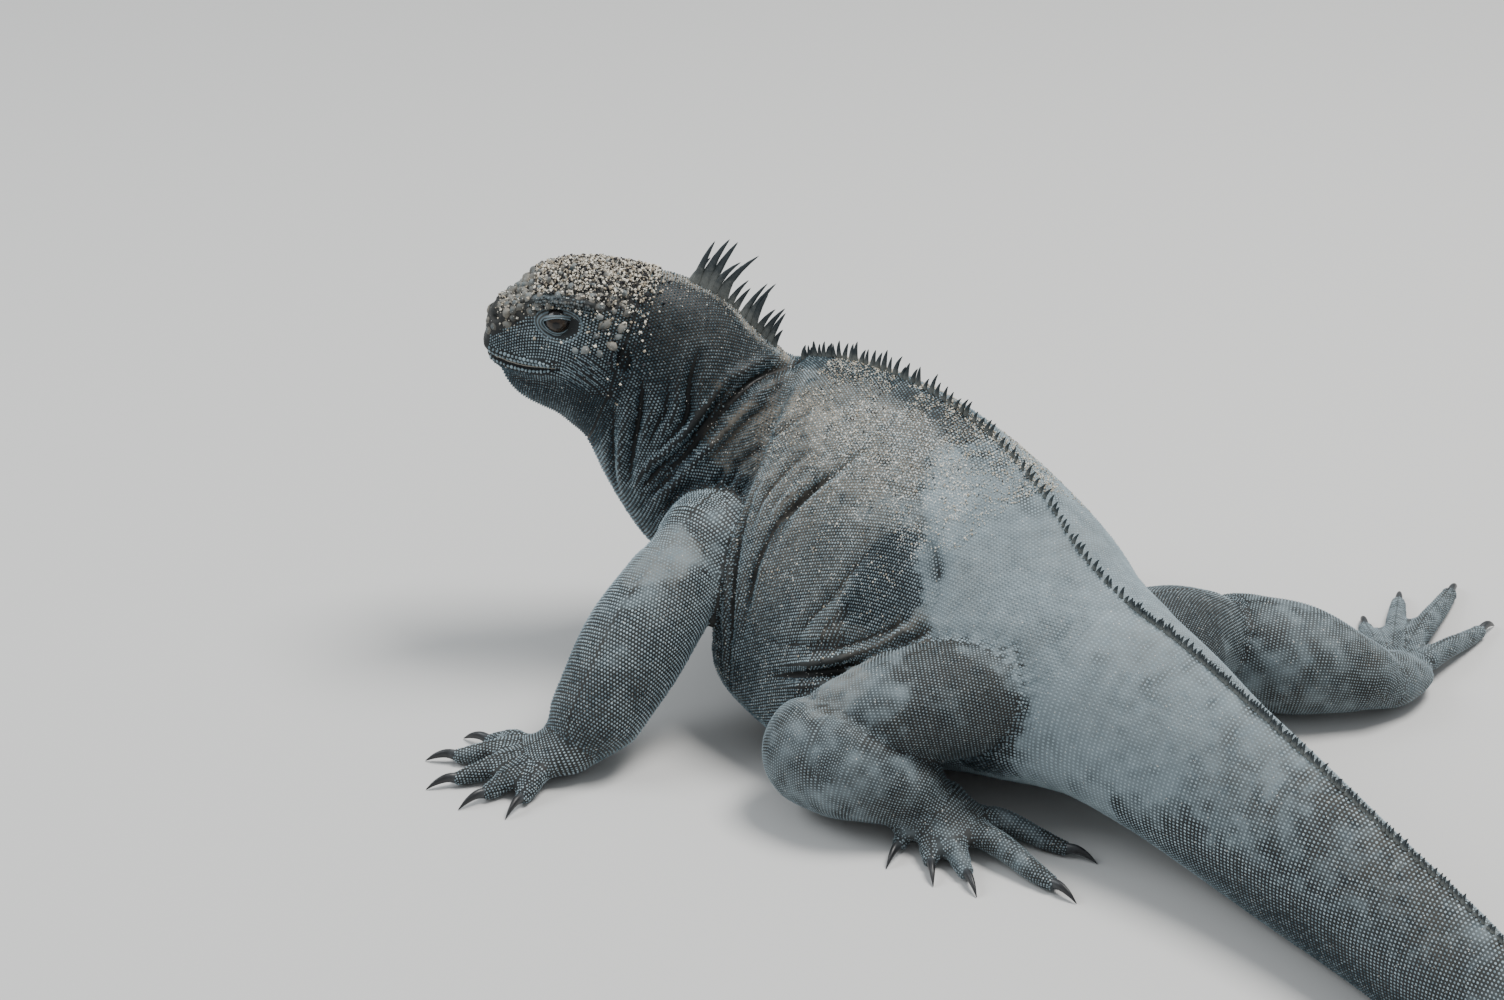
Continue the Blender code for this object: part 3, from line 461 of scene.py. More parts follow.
def places_of(mesh: bpy.types.Mesh) -> np.ndarray:
    """Return a mesh's vertex places in metres."""
    flat = np.zeros(len(mesh.vertices) * 3, np.float32)
    mesh.vertices.foreach_get("co", flat)
    return flat.reshape(-1, 3).astype(float)


def set_places(mesh: bpy.types.Mesh, points: np.ndarray) -> None:
    """Move a mesh's vertices."""
    mesh.vertices.foreach_set("co", np.asarray(points, np.float32).ravel())
    mesh.update()


def normals_of(mesh: bpy.types.Mesh) -> np.ndarray:
    """Return a mesh's vertex normals."""
    flat = np.zeros(len(mesh.vertices) * 3, np.float32)
    mesh.vertices.foreach_get("normal", flat)
    return flat.reshape(-1, 3).astype(float)


def set_attribute(mesh: bpy.types.Mesh, name: str, values: np.ndarray) -> None:
    """Store one number for each vertex under a name."""
    layer = mesh.attributes.get(name) or mesh.attributes.new(name, "FLOAT", "POINT")
    layer.data.foreach_set("value", np.asarray(values, np.float32))


def paint(mesh: bpy.types.Mesh, **marks: float) -> None:
    """Store the same numbers on every vertex of a mesh."""
    for key, value in marks.items():
        set_attribute(mesh, key, np.full(len(mesh.vertices), value))


def tube_faces(rings: int, sides: int) -> np.ndarray:
    """Return the quads between rings of vertices, facing outwards for a left-handed turn."""
    ring = np.arange(rings - 1)[:, None] * sides
    side = np.arange(sides)[None, :]
    following = (side + 1) % sides
    quads = np.stack([ring + side, ring + sides + side, ring + sides + following, ring + following], axis=-1)
    return quads.reshape(-1, 4)


def capped_tube(name: str, rings: np.ndarray, ends: np.ndarray) -> bpy.types.Object:
    """Return a closed mesh of rings of vertices and a point at each end, in metres."""
    steps, sides, _ = rings.shape
    count, last = steps * sides, (steps - 1) * sides
    side = np.arange(sides)
    following = (side + 1) % sides
    first_cap = np.stack([np.full(sides, count), side, following], axis=-1)
    last_cap = np.stack([np.full(sides, count + 1), last + following, last + side], axis=-1)
    piece = piece_from(name, np.vstack([rings.reshape(-1, 3), ends]),
                       [tube_faces(steps, sides), np.vstack([first_cap, last_cap])])
    face_outward(piece)
    return piece


def closed_tube(name: str, form: Tube, steps: int, sides: int) -> bpy.types.Object:
    """Return a closed mesh of a form, with a point at each end."""
    points, _, _ = form.grid(steps, sides)
    ends = np.array([ring.mean(axis=0) for ring in (points[0], points[-1])])
    return capped_tube(name, to_row(points), to_row(ends))


def face_outward(piece: bpy.types.Object) -> None:
    """Turn the faces of a closed piece outwards."""
    only_select(piece)
    bpy.ops.object.mode_set(mode="EDIT")
    bpy.ops.mesh.select_all(action="SELECT")
    bpy.ops.mesh.normals_make_consistent(inside=False)
    bpy.ops.object.mode_set(mode="OBJECT")


def triangles_of(mesh: bpy.types.Mesh) -> np.ndarray:
    """Return the vertex numbers of a mesh's triangles."""
    mesh.calc_loop_triangles()
    corners = np.zeros(len(mesh.loop_triangles) * 3, np.int32)
    mesh.loop_triangles.foreach_get("vertices", corners)
    return corners.reshape(-1, 3)


def search_tree(mesh: bpy.types.Mesh) -> BVHTree:
    """Return a tree that finds the nearest place on a mesh."""
    return BVHTree.FromPolygons(places_of(mesh).tolist(), triangles_of(mesh).tolist())


def point_tree(points: np.ndarray) -> KDTree:
    """Return a tree that finds the nearest of some points."""
    tree = KDTree(len(points))
    for number, point in enumerate(points.tolist()):
        tree.insert(point, number)
    tree.balance()
    return tree


def near_path(points: np.ndarray, path: np.ndarray, reach: float) -> np.ndarray:
    """Return which points are inside a path's box and a reach round it."""
    return np.all((points > path.min(axis=0) - reach) & (points < path.max(axis=0) + reach), axis=1)


@dataclass(frozen=True)
class Fold:
    """A groove in the skin along a line of places and turns of the body form."""

    line: tuple[tuple[float, float], ...]
    depth: float
    width: float
    both_sides: bool = True

    def path(self, body: Tube, side: int) -> np.ndarray:
        """Return points along the groove on the left (1) or right (-1) side."""
        table = np.array(self.line)
        corners = body.at(table[:, 0], np.radians(table[:, 1]) * side)
        return through(corners, np.linspace(0, len(corners) - 1, (len(corners) - 1) * 5 + 1))


def distance_to(points: np.ndarray, path: np.ndarray) -> tuple[np.ndarray, np.ndarray]:
    """Return each point's distance from a path and how far along it is, from 0 to 1."""
    best = np.full(len(points), 1e9)
    share = np.zeros(len(points))
    for index, (start, end) in enumerate(zip(path, path[1:])):
        line = end - start
        t = np.clip((points - start) @ line / max(line @ line, 1e-9), 0, 1)
        away = np.linalg.norm(points - start - t[:, None] * line, axis=1)
        nearer = away < best
        best[nearer] = away[nearer]
        share[nearer] = (index + t[nearer]) / (len(path) - 1)
    return best, share


FOLD_STRENGTH = 1.15
# Each fold's line as places along the body form and degrees from the crest, its depth and width.
FOLDS = (
    Fold(((12.21, 2), (11.15, 28), (10.68, 48), (10.41, 65), (10.18, 81), (9.91, 100), (9.74, 115)),
         0.34, 0.30),
    Fold(((10.71, 38), (10.51, 47), (10.21, 70), (9.74, 102), (9.61, 121)), 0.2, 0.2),
    Fold(((9.68, 46), (9.71, 60), (9.88, 74), (9.61, 96)), 0.2, 0.26),
    Fold(((8.71, 79), (8.88, 90), (9.11, 111), (9.31, 129)), 0.22, 0.26),
    Fold(((8.24, 105), (8.68, 128), (9.24, 152)), 0.16, 0.24),
    Fold(((9.24, 67), (9.41, 79), (9.34, 97), (9.38, 113)), 0.12, 0.2),
    Fold(((10.11, 95), (9.91, 109), (9.74, 135)), 0.12, 0.16),
    Fold(((10.48, 91), (10.18, 113), (10.04, 154)), 0.12, 0.16),
    Fold(((10.85, 83), (10.58, 103), (10.41, 127)), 0.12, 0.16),
    Fold(((13.38, 48), (13.52, 60), (13.75, 70), (14.02, 79)), 0.13, 0.22),
    Fold(((13.95, 42), (13.98, 56), (14.08, 67), (14.18, 77)), 0.09, 0.24),
    Fold(((14.55, 34), (14.32, 45), (14.22, 51), (14.18, 58)), 0.17, 0.28),
    Fold(((16.32, 33), (16.75, 39), (17.05, 46), (17.19, 56)), 0.12, 0.4),
    Fold(((15.12, 76), (16.18, 71), (16.59, 67), (16.92, 61)), 0.16, 0.2),
    Fold(((16.38, 67), (16.69, 62), (16.82, 57)), 0.1, 0.18),
    Fold(((14.65, 72), (15.45, 67), (16.22, 62), (16.52, 56)), 0.08, 0.2),
    Fold(((10.95, 72), (10.88, 88), (11.05, 104), (11.28, 126), (11.71, 147)), 0.2, 0.16, False),
    Fold(((11.25, 67), (11.11, 81), (11.25, 95), (11.55, 116), (13.25, 91)), 0.2, 0.17, False),
    Fold(((11.55, 63), (11.41, 80), (11.55, 94), (13.52, 80), (13.82, 93)), 0.2, 0.18, False),
    Fold(((13.31, 52), (13.41, 61), (13.72, 70), (13.92, 80), (14.05, 96)), 0.17, 0.18, False),
    Fold(((14.78, 28), (14.62, 35), (14.38, 42), (14.18, 48), (14.08, 53), (14.05, 61), (14.12, 68)),
         0.2, 0.22, False),
    Fold(((14.02, 35), (13.82, 42), (13.65, 50), (13.68, 56)), 0.15, 0.2, False),
    Fold(((15.78, 44), (15.65, 50), (15.52, 56), (15.25, 63), (15.12, 70)), 0.11, 0.26, False),
    Fold(((17.22, 57), (16.92, 65), (16.55, 70), (15.68, 73), (14.92, 78)), 0.26, 0.26, False),
    Fold(((16.85, 56), (16.59, 61), (16.22, 65), (15.42, 69)), 0.15, 0.24, False),
    Fold(((12.58, 23), (11.28, 43), (10.85, 62), (10.48, 81)), 0.14, 0.2, False),
    Fold(((13.68, 24), (13.21, 34), (11.45, 55), (11.11, 72)), 0.14, 0.2, False),
)
# The grid of the joined skin, in metres, and how near two forms blend, in centimetres.
VOXEL = 0.0022
JOINT_REACH = 0.5
# How sharply two forms of the animal crease where they meet, by their steps out from the body (0).
CREASE_OF_STEPS = {(0, 1): 0.7, (0, 2): 1.0, (1, 2): 1.0, (1, 3): 0.8, (2, 3): 0.4}
PIECES_OF_LIMB = 8


@dataclass
class Skin:
    """The one closed skin over every part of flesh."""

    body: Tube
    limbs: list[Tube]
    piece: bpy.types.Object | None = None
    along: np.ndarray = field(default_factory=lambda: np.zeros(0))
    turn: np.ndarray = field(default_factory=lambda: np.zeros(0))
    owner: np.ndarray = field(default_factory=lambda: np.zeros(0, int))
    crease_and_painted_shade: np.ndarray = field(default_factory=lambda: np.zeros(0))
    face_crease_and_painted_shade: np.ndarray = field(default_factory=lambda: np.zeros(0))
    tree: BVHTree | None = None

    @property
    def forms(self) -> list[Tube]:
        """Return every form, the body first."""
        return [self.body, *self.limbs]

    def build(self) -> None:
        """Join the forms into one skin, then fold it and shape the head."""
        lofts = [closed_tube("body_form", self.body, 241, 72)]
        lofts += [closed_tube(f"limb_form_{k}", form, 40, 32) for k, form in enumerate(self.limbs)]
        only_select(*lofts)
        bpy.ops.object.join()
        piece = bpy.context.object
        piece.name = piece.data.name = "skin"
        exact = search_tree(piece.data)
        remesh = piece.modifiers.new("one_skin", "REMESH")
        remesh.mode = "VOXEL"
        remesh.voxel_size = VOXEL
        remesh.use_smooth_shade = True
        bpy.ops.object.modifier_apply(modifier=remesh.name)
        self.piece = piece
        self.refine()
        near, crisp = self.settle(exact)
        self.fold(near, crisp)
        self.piece.data.shade_smooth()
        LOG.info("skin: %d faces", len(self.piece.data.polygons))

    def fold_paths(self) -> list[tuple[Fold, np.ndarray]]:
        """Return each fold with each of its paths."""
        return [(fold, fold.path(self.body, side)) for fold in FOLDS
                for side in ((1, -1) if fold.both_sides else (1,))]

    def refine(self) -> None:
        """Divide the faces of the head and beside the folds, where the forms are finest."""
        points = to_maker(places_of(self.piece.data))
        close = np.linalg.norm(points - head_point(2.7, 0, 13.2), axis=1) < 4.4
        for fold, path in self.fold_paths():
            reach = fold.width * 2 + 0.2
            index = np.nonzero(near_path(points, path, reach))[0]
            away, _ = distance_to(points[index], path)
            close[index[away < reach]] = True
        mesh = bmesh.new()
        mesh.from_mesh(self.piece.data)
        chosen = [face for face in mesh.faces if all(close[corner.index] for corner in face.verts)]
        edges = {edge for face in chosen for edge in face.edges}
        bmesh.ops.subdivide_edges(mesh, edges=list(edges), cuts=1, use_grid_fill=True)
        mesh.to_mesh(self.piece.data)
        mesh.free()

    def settle(self, exact: BVHTree) -> tuple[np.ndarray, np.ndarray]:
        """Lay the skin on the forms, soft or creased where two forms meet.

        Args:
            exact: the tree of the forms themselves.

        Returns:
            Each vertex's distance from the nearest other form, and how sharp its crease is.
        """
        mesh = self.piece.data
        points = places_of(mesh)
        self.locate(points)
        near, crisp = self.second_nearest(points)
        laid = np.array([exact.find_nearest(Vector(point))[0][:] for point in points])
        joint = 1 - smooth_step(near, 0.15, JOINT_REACH)
        soft = joint * (1 - crisp)
        points = laid * (1 - soft)[:, None] + points * soft[:, None]
        points = self.relax(points, joint * (1 - 0.72 * crisp), 26)
        points = self.relax(points, np.full(len(points), 0.35), 2)
        points[:, 2] = np.maximum(points[:, 2], 0.0001)
        set_places(mesh, points)
        return near, crisp

    def relax(self, points: np.ndarray, share: np.ndarray, rounds: int) -> np.ndarray:
        """Draw each vertex towards the middle of its neighbours."""
        mesh = self.piece.data
        ends = np.zeros(len(mesh.edges) * 2, np.int32)
        mesh.edges.foreach_get("vertices", ends)
        a, b = ends[0::2], ends[1::2]
        count = np.bincount(a, minlength=len(points)) + np.bincount(b, minlength=len(points))
        for _ in range(rounds):
            middle = np.stack([
                np.bincount(a, points[b, k], len(points)) + np.bincount(b, points[a, k], len(points))
                for k in range(3)
            ], axis=-1) / np.maximum(count, 1)[:, None]
            points = points + (middle - points) * (share * 0.6)[:, None]
        return points

    def locate(self, points: np.ndarray) -> None:
        """Find the form, place and turn that each vertex belongs to."""
        samples, owners, alongs, turns = [], [], [], []
        for number, form in enumerate(self.forms):
            steps = max(int(form.length * (18 if number == 0 else 10)), 12)
            grid, along, turn = form.grid(steps, 120 if number == 0 else 36)
            samples.append(grid.reshape(-1, 3))
            owners.append(np.full(grid.shape[0] * grid.shape[1], number))
            alongs.append(along.ravel())
            turns.append(turn.ravel())
        samples, owners = to_row(np.vstack(samples)), np.concatenate(owners)
        alongs, turns = np.concatenate(alongs), np.concatenate(turns)
        tree = point_tree(samples)
        found = np.array([tree.find(point)[1] for point in points.tolist()])
        self.owner, self.along, self.turn = owners[found], alongs[found], turns[found]

    def crispness(self, partner: int) -> np.ndarray:
        """Return how sharply each vertex's form creases against another form."""
        def step(number: int) -> int:
            """Return how many forms out from the body a form is."""
            return 0 if number == 0 else 1 + (number - 1) % PIECES_OF_LIMB

        sharp = np.zeros(len(self.forms))
        for number in range(len(self.forms)):
            pair = tuple(sorted((step(number), step(partner))))
            sharp[number] = CREASE_OF_STEPS.get(pair, 0.0)
            outer = self.forms[max(number, partner)].region
            if number and partner and outer in (Region.ARM, Region.HAND):
                sharp[number] *= 0.1
        return sharp[self.owner]

    def second_nearest(self, points: np.ndarray) -> tuple[np.ndarray, np.ndarray]:
        """Return each vertex's distance from the nearest other form, in centimetres, and its crispness."""
        best = np.full(len(points), 9.0)
        crisp = np.zeros(len(points))
        for number, form in enumerate(self.forms):
            rows_each, sides = (14, 90) if number == 0 else (8, 30)
            grid, _, _ = form.grid(max(int(form.length * rows_each), 10), sides)
            samples = to_row(grid.reshape(-1, 3))
            low, high = samples.min(axis=0) - 0.006, samples.max(axis=0) + 0.006
            inside = np.all((points > low) & (points < high), axis=1) & (self.owner != number)
            chosen = np.nonzero(inside)[0]
            if not len(chosen):
                continue
            tree = point_tree(samples)
            away = np.array([tree.find(point)[2] for point in points[chosen].tolist()]) / CM
            nearer = away < best[chosen]
            best[chosen[nearer]] = away[nearer]
            crisp[chosen[nearer]] = self.crispness(number)[chosen[nearer]]
        return best, crisp

    def fold(self, near: np.ndarray, crisp: np.ndarray) -> None:
        """Press folds and creases into the skin, and shape the head, keeping painted shade for seams, grooves
        and hollows and a painted highlight for ridges.

        Args:
            near: each vertex's distance from the nearest other form.
            crisp: how sharp its crease is.
        """
        mesh = self.piece.data
        points = places_of(mesh)
        normals = normals_of(mesh)
        lengths = to_maker(points)
        # Seams where two forms meet are pressed in and given painted shade.
        seam = crisp * np.exp(-(near / 0.2) ** 2)
        push = -0.13 * seam + 0.04 * crisp * np.exp(-((near - 0.5) / 0.25) ** 2)
        shade = seam.copy()
        for fold, path in self.fold_paths():
            index = np.nonzero(near_path(lengths, path, fold.width * 4) & (self.owner == 0))[0]
            away, share = distance_to(lengths[index], path)
            fade = np.sin(np.pi * np.clip(share * 0.9 + 0.05, 0, 1)) ** 0.6
            groove = np.exp(-away / (fold.width * 0.75))
            ridge = np.exp(-((away - fold.width * 1.6) / (fold.width * 0.8)) ** 2)
            push[index] += fade * fold.depth * FOLD_STRENGTH * (0.4 * ridge - groove)
            # Painted shade in each groove and a painted highlight on the ridge beside it.
            dark = min(fold.depth / 0.16, 1.3)
            shade[index] += fade * dark * (np.exp(-(away / fold.width) ** 2) - 0.45 * ridge)
        self.crease_and_painted_shade = np.clip(shade, -0.6, 1.2)
        push += self.head_relief(lengths)
        set_places(mesh, points + normals * (push * CM)[:, None])

    def head_relief(self, points: np.ndarray) -> np.ndarray:
        """Return how far the head's skin stands out for lips, brows and sockets, and add painted shade to its
        grooves and hollows.
        """
        push = np.zeros(len(points))
        near = np.linalg.norm(points - head_point(2.6, 0, 13.2), axis=1) < 5.0
        local = points[near] - SNOUT
        back = -(local @ HEADING)
        side = local @ HEAD_LEFT
        height = local[:, 2]

        def spot(back_at: float, back_reach: float, height_at: float, height_reach: float) -> np.ndarray:
            """Return a soft round spot on the side of the head."""
            return np.exp(-((back - back_at) / back_reach) ** 2 - ((height - height_at) / height_reach) ** 2)

        out = np.zeros(len(back))
        gape = 1 - smooth_step(back, MOUTH_CORNER - 0.1, MOUTH_CORNER + 0.35)
        away = height - mouth_height(back)
        out += gape * (-0.15 * np.exp(-(away / 0.08) ** 2)
                       + 0.12 * np.exp(-((away - 0.3) / 0.2) ** 2)
                       + 0.06 * np.exp(-((away + 0.22) / 0.13) ** 2)
                       - 0.14 * np.exp(-((away + 0.75) / 0.35) ** 2))
        brow_line = BROW_HEIGHT + 0.10 * np.sin(np.clip((back - 1.8) / 2.4, 0, 1) * np.pi)
        brow = np.exp(-((height - brow_line) / 0.16) ** 2)
        brow *= smooth_step(back, 1.6, 2.1) * (1 - smooth_step(back, 4.0, 4.5))
        out += np.where(np.abs(side) > 0.9, 0.32 * brow, 0.0)
        socket = np.exp(-(((back - EYE_BACK) / 0.95) ** 2 + ((height - EYE_HEIGHT) / 0.55) ** 2) ** 1.4)
        out -= 0.2 * socket
        canthus = np.exp(-((height - 14.62 - (back - 1.2) * 0.12) / 0.18) ** 2)
        out += 0.1 * canthus * smooth_step(back, 0.6, 0.9) * (1 - smooth_step(back, 1.7, 2.1))
        out -= 0.12 * spot(1.35, 0.5, 14.1, 0.3)
        dip = np.exp(-((back - 1.05) / 0.5) ** 2 - (side / 0.95) ** 2)
        out -= 0.34 * dip * smooth_step(height, 14.3, 14.7)
        nose = np.exp(-((back - NOSTRIL_BACK - 0.02) ** 2 + (height - NOSTRIL_HEIGHT) ** 2) / 0.3 ** 2)
        pit = np.exp(-(((back - NOSTRIL_BACK) / 0.12) ** 2 + ((height - NOSTRIL_HEIGHT) / 0.13) ** 2))
        out += np.where(np.abs(side) > 0.35, 0.13 * nose - 0.36 * pit, 0.0)
        drum = ((back - EARDRUM_BACK) / 0.34) ** 2 + ((height - EARDRUM_HEIGHT) / 0.5) ** 2
        out += -0.22 * np.exp(-drum ** 2) + 0.05 * np.exp(-((np.sqrt(drum) - 1.35) / 0.25) ** 2)
        out += 0.12 * spot(4.1, 1.0, 12.55, 0.7) + 0.2 * spot(4.6, 0.7, 11.7, 0.45)
        fan_line = (height - 13.1) + (back - 2.9) * 0.9
        stretch = np.cos(fan_line * 2 * np.pi / 0.34)
        out += 0.022 * stretch * spot(3.7, 0.9, 12.6, 0.8)
        # Painted shade along the mouth line, in the nostrils and over the eardrum; a painted highlight on the
        # brow ridge.
        shade = 0.9 * gape * np.exp(-(away / 0.1) ** 2) - 0.15 * brow + 0.8 * pit + 0.7 * np.exp(-drum ** 2)
        # Painted shadow under the brow, painted shade in the eye socket, and painted shade and highlight across
        # the cheek's stretch lines.
        painted_brow_shadow = np.exp(-((height - brow_line + 0.27) / 0.11) ** 2)
        painted_brow_shadow *= smooth_step(back, 1.7, 2.1) * (1 - smooth_step(back, 3.9, 4.3))
        shade += 0.75 * painted_brow_shadow + 0.35 * socket - 0.3 * stretch * spot(3.7, 0.9, 12.6, 0.8)
        self.crease_and_painted_shade[near] = np.clip(self.crease_and_painted_shade[near] + shade, -0.6, 1.2)
        push[near] = out
        return push

    def search(self) -> BVHTree:
        """Return the tree of the finished skin, made once."""
        if self.tree is None:
            mesh = self.piece.data
            self.tree = search_tree(mesh)
            self.face_crease_and_painted_shade = self.crease_and_painted_shade[triangles_of(mesh)].mean(axis=1)
        return self.tree


# Places on the head: how far back from the snout, and how high above the floor.
MOUTH_CORNER = 2.75
BROW_HEIGHT = 14.93
BROW_ROW_HEIGHT = 14.8
EYE_BACK = 2.85
EYE_HEIGHT = 14.3
NOSTRIL_BACK = 0.42
NOSTRIL_HEIGHT = 14.15
EARDRUM_BACK = 5.3
EARDRUM_HEIGHT = 12.95


def mouth_height(back: np.ndarray) -> np.ndarray:
    """Return the height of the line of the mouth, that far back from the snout."""
    return 12.62 - 0.10 * np.sin(np.clip(back / MOUTH_CORNER, 0, 1) * np.pi) - 0.06 * back / MOUTH_CORNER


@dataclass(frozen=True)
class Marking:
    """A soft-edged patch on the skin round a place of the maker's frame."""

    centre: tuple[float, float, float]
    radii: tuple[float, float, float]
    tint: float = 0.0
    dust: float = 0.0
    damp: float = 0.0
    sand: float = 0.0
    region: Region | None = None


MARKINGS = (
    Marking((-5.8, -3.7, 8.2), (1.5, 1.7, 2.1), tint=-0.14, dust=-0.5, damp=0.5, region=Region.BODY),
    Marking((-1.6, -4.2, 4.6), (2.6, 2.3, 2.6), tint=-0.2, damp=0.2),
    Marking((-1.8, 6.4, 4.4), (2.7, 2.4, 2.4), tint=-0.2, damp=0.2, region=Region.LEG),
    Marking((-0.2, -3.9, 3.8), (1.6, 1.5, 3.0), tint=-0.36, damp=0.5, region=Region.BODY),
    # Painted highlight on top of the left elbow, with a little dust.
    Marking((-13.9, -8.0, 6.9), (1.5, 1.6, 1.3), tint=0.16, dust=0.12, region=Region.ARM),
    Marking((-13.2, -12.2, 2.0), (2.8, 3.0, 2.9), tint=-0.2, region=Region.ARM),
    Marking((-4.9, -6.6, 5.0), (1.8, 1.6, 1.0), tint=0.12, dust=0.25, region=Region.LEG),
    Marking((-8.2, -1.9, 11.0), (4.0, 2.4, 2.6), tint=0.1, dust=0.08, sand=1.0, region=Region.BODY),
    Marking((-13.2, -3.2, 10.6), (2.6, 2.4, 2.0), dust=0.25, sand=0.2, region=Region.BODY),
    Marking((-15.5, -5.4, 7.0), (1.5, 1.6, 2.0), tint=-0.12, dust=-0.6, damp=0.4, region=Region.BODY),
)
# How light and how dusty the skin is at places along the body form.
TINT_ALONG = ((0, 0.22), (3, 0.28), (4.6, 0.44), (6.8, 0.36), (8.2, 0.07), (11, 0.03), (12.2, 0.2),
              (14, 0.34), (16.25, 0.42), (16.42, 0.8), (19, 0.82), (20.5, 0.76), (22, 0.58), (24, 0.5),
              (30, 0.42))
DUST_ALONG = ((0, 0.1), (8, 0.05), (11.4, 0.05), (12.4, 0.28), (14, 0.3), (16.2, 0.28), (16.42, 0.1),
              (20, 0.12), (30, 0.1))


class Colouring:
    """Works out how light, dusty, damp and sandy each place of the skin is, with painted shade in folds and
    hollows and a painted highlight on ridges.
    """

    @staticmethod
    def of(points: np.ndarray, region: np.ndarray, along: np.ndarray, turn: np.ndarray,
           crease_and_painted_shade: np.ndarray) -> dict[str, np.ndarray]:
        """Return the four markings of each place.

        Args:
            points: places in the maker's frame, in centimetres.
            region: each place's Region.
            along: places along the body form, where it is the body's.
            turn: turns from the crest, in radians.
            crease_and_painted_shade: painted shade, 1 in the bottom of a fold or hollow, and below 0 on the
                ridge beside it, a painted highlight.

        Returns:
            Arrays of tint, dust, damp with the painted shade of fold bottoms, and sand, from 0 to 1.
        """
        is_body = region == Region.BODY
        low = np.degrees(np.abs(turn))
        blotch = patchy(points, 1.3, 21) - 0.5
        hip = np.where((along > 14) & (along < 19), 0.04 * (np.clip(low, 18, 62) - 33), 0.0)
        place = along - hip + blotch * 0.35
        tint = np.where(is_body, np.interp(place, *zip(*TINT_ALONG)), 0.5)
        dust = np.where(is_body, np.interp(place, *zip(*DUST_ALONG)), 0.06)
        tint = np.where((region == Region.LEG) | (region == Region.FOOT), 0.54, tint)
        tint = np.where((region == Region.ARM) | (region == Region.HAND), 0.42, tint)
        tint = tint + np.where(is_body & (along < 8.2), 0.05 - 0.36 * smooth_step(low, 98, 112), 0.0)
        flank = is_body & (along > 11.5) & (along < 20)
        tint = tint - np.where(flank, 0.06 * smooth_step(low, 62, 105), 0.0)
        tint = tint - np.where(is_body & (along >= 20), 0.42 * smooth_step(low, 74, 120), 0.0)
        dust = dust * (1 - np.where(is_body, 0.85 * smooth_step(low, 42, 80), 0.0))
        nape = is_body & (along > 8.3) & (along < 11.9)
        mane = (1 - smooth_step(low + blotch * 8, 5.5, 10)) * (0.35 + 0.9 * patchy(points, 0.5, 31))
        # On the nape a pale dusty band runs along the crest, the neck is lighter low down, and a darker band
        # just below the pale band is painted shadow.
        tint = tint + np.where(nape, 0.4 * mane + 0.2 * smooth_step(low, 62, 100)
                               - 0.08 * (1 - smooth_step(low, 22, 36)) * (1 - mane), 0.0)
        dust = dust + np.where(nape, 0.7 * mane, 0.0)
        damp = np.where(nape, 0.6 * (1 - smooth_step(low, 50, 85)) * (1 - np.clip(mane, 0, 1)), 0.0)
        sand = np.where(is_body & (along > 11.5) & (along < 16.5), 0.35, 0.05) * np.ones(len(points))
        sand = sand + np.where(nape, 0.4 * mane, 0.0)
        root = np.where(is_body & (along > 12), 1 - smooth_step(low + blotch * 5, 8, 15), 0.0)
        root = root * (1 - smooth_step(along, 16, 18))
        tint = tint - 0.24 * root
        warp = (patchy(points, 1.1, 3) - 0.5) * 0.75 + (patchy(points, 0.45, 5) - 0.5) * 0.4
        for mark in MARKINGS:
            away = np.linalg.norm((points - np.array(mark.centre)) / np.array(mark.radii), axis=1) + warp
            share = 1 - smooth_step(away, 0.85, 1.08)
            if mark.region is not None:
                share = share * (region == mark.region)
            tint = tint + mark.tint * share
            dust = dust + mark.dust * share
            damp = damp + mark.damp * share
            sand = sand + mark.sand * share
        tint = tint + (patchy(points, 2.6, 8) - 0.5) * 0.2 + (patchy(points, 0.8, 9) - 0.5) * 0.16
        tint = tint + np.where(tint > 0.45, (patchy(points, 0.4, 33) - 0.5) * 0.3, 0.0)
        dust, sand = dust * (1 - 0.8 * root), sand * (1 - 0.7 * root)
        # Painted shade in folds and hollows: darker, less dusty, and for the deepest, added to the damp value,
        # which darkens; a painted highlight on the ridges beside them.
        tint = tint - 0.2 * np.clip(crease_and_painted_shade, 0, 1) + 0.16 * np.clip(-crease_and_painted_shade, 0, 1)
        dust = dust * (0.45 + 1.1 * patchy(points, 1.7, 12)) * (1 - 0.6 * np.clip(crease_and_painted_shade, 0, 1))
        damp = damp + 0.5 * np.clip(crease_and_painted_shade - 0.3, 0, 1)
        sand = sand * (0.3 + 1.4 * patchy(points, 1.0, 14))
        found = {"tint": tint, "dust": dust, "damp": damp, "sand": sand}
        return {key: np.clip(values, 0, 1) for key, values in found.items()}


@dataclass
class Grains:
    """Where many small raised scales stand, in metres, and how big each is, in centimetres."""

    points: np.ndarray
    normals: np.ndarray
    ways: np.ndarray
    reach_along: np.ndarray
    reach_across: np.ndarray
    height: np.ndarray
    form: np.ndarray
    along: np.ndarray
    turn: np.ndarray
    crease_and_painted_shade: np.ndarray

    def chosen(self, keep: np.ndarray) -> "Grains":
        """Return only some of them."""
        return Grains(*(values[keep] for values in self.__dict__.values()))

    @staticmethod
    def together(groups: Sequence["Grains"]) -> "Grains":
        """Return several groups as one."""
        return Grains(*(np.concatenate(values) for values in zip(*(g.__dict__.values() for g in groups))))


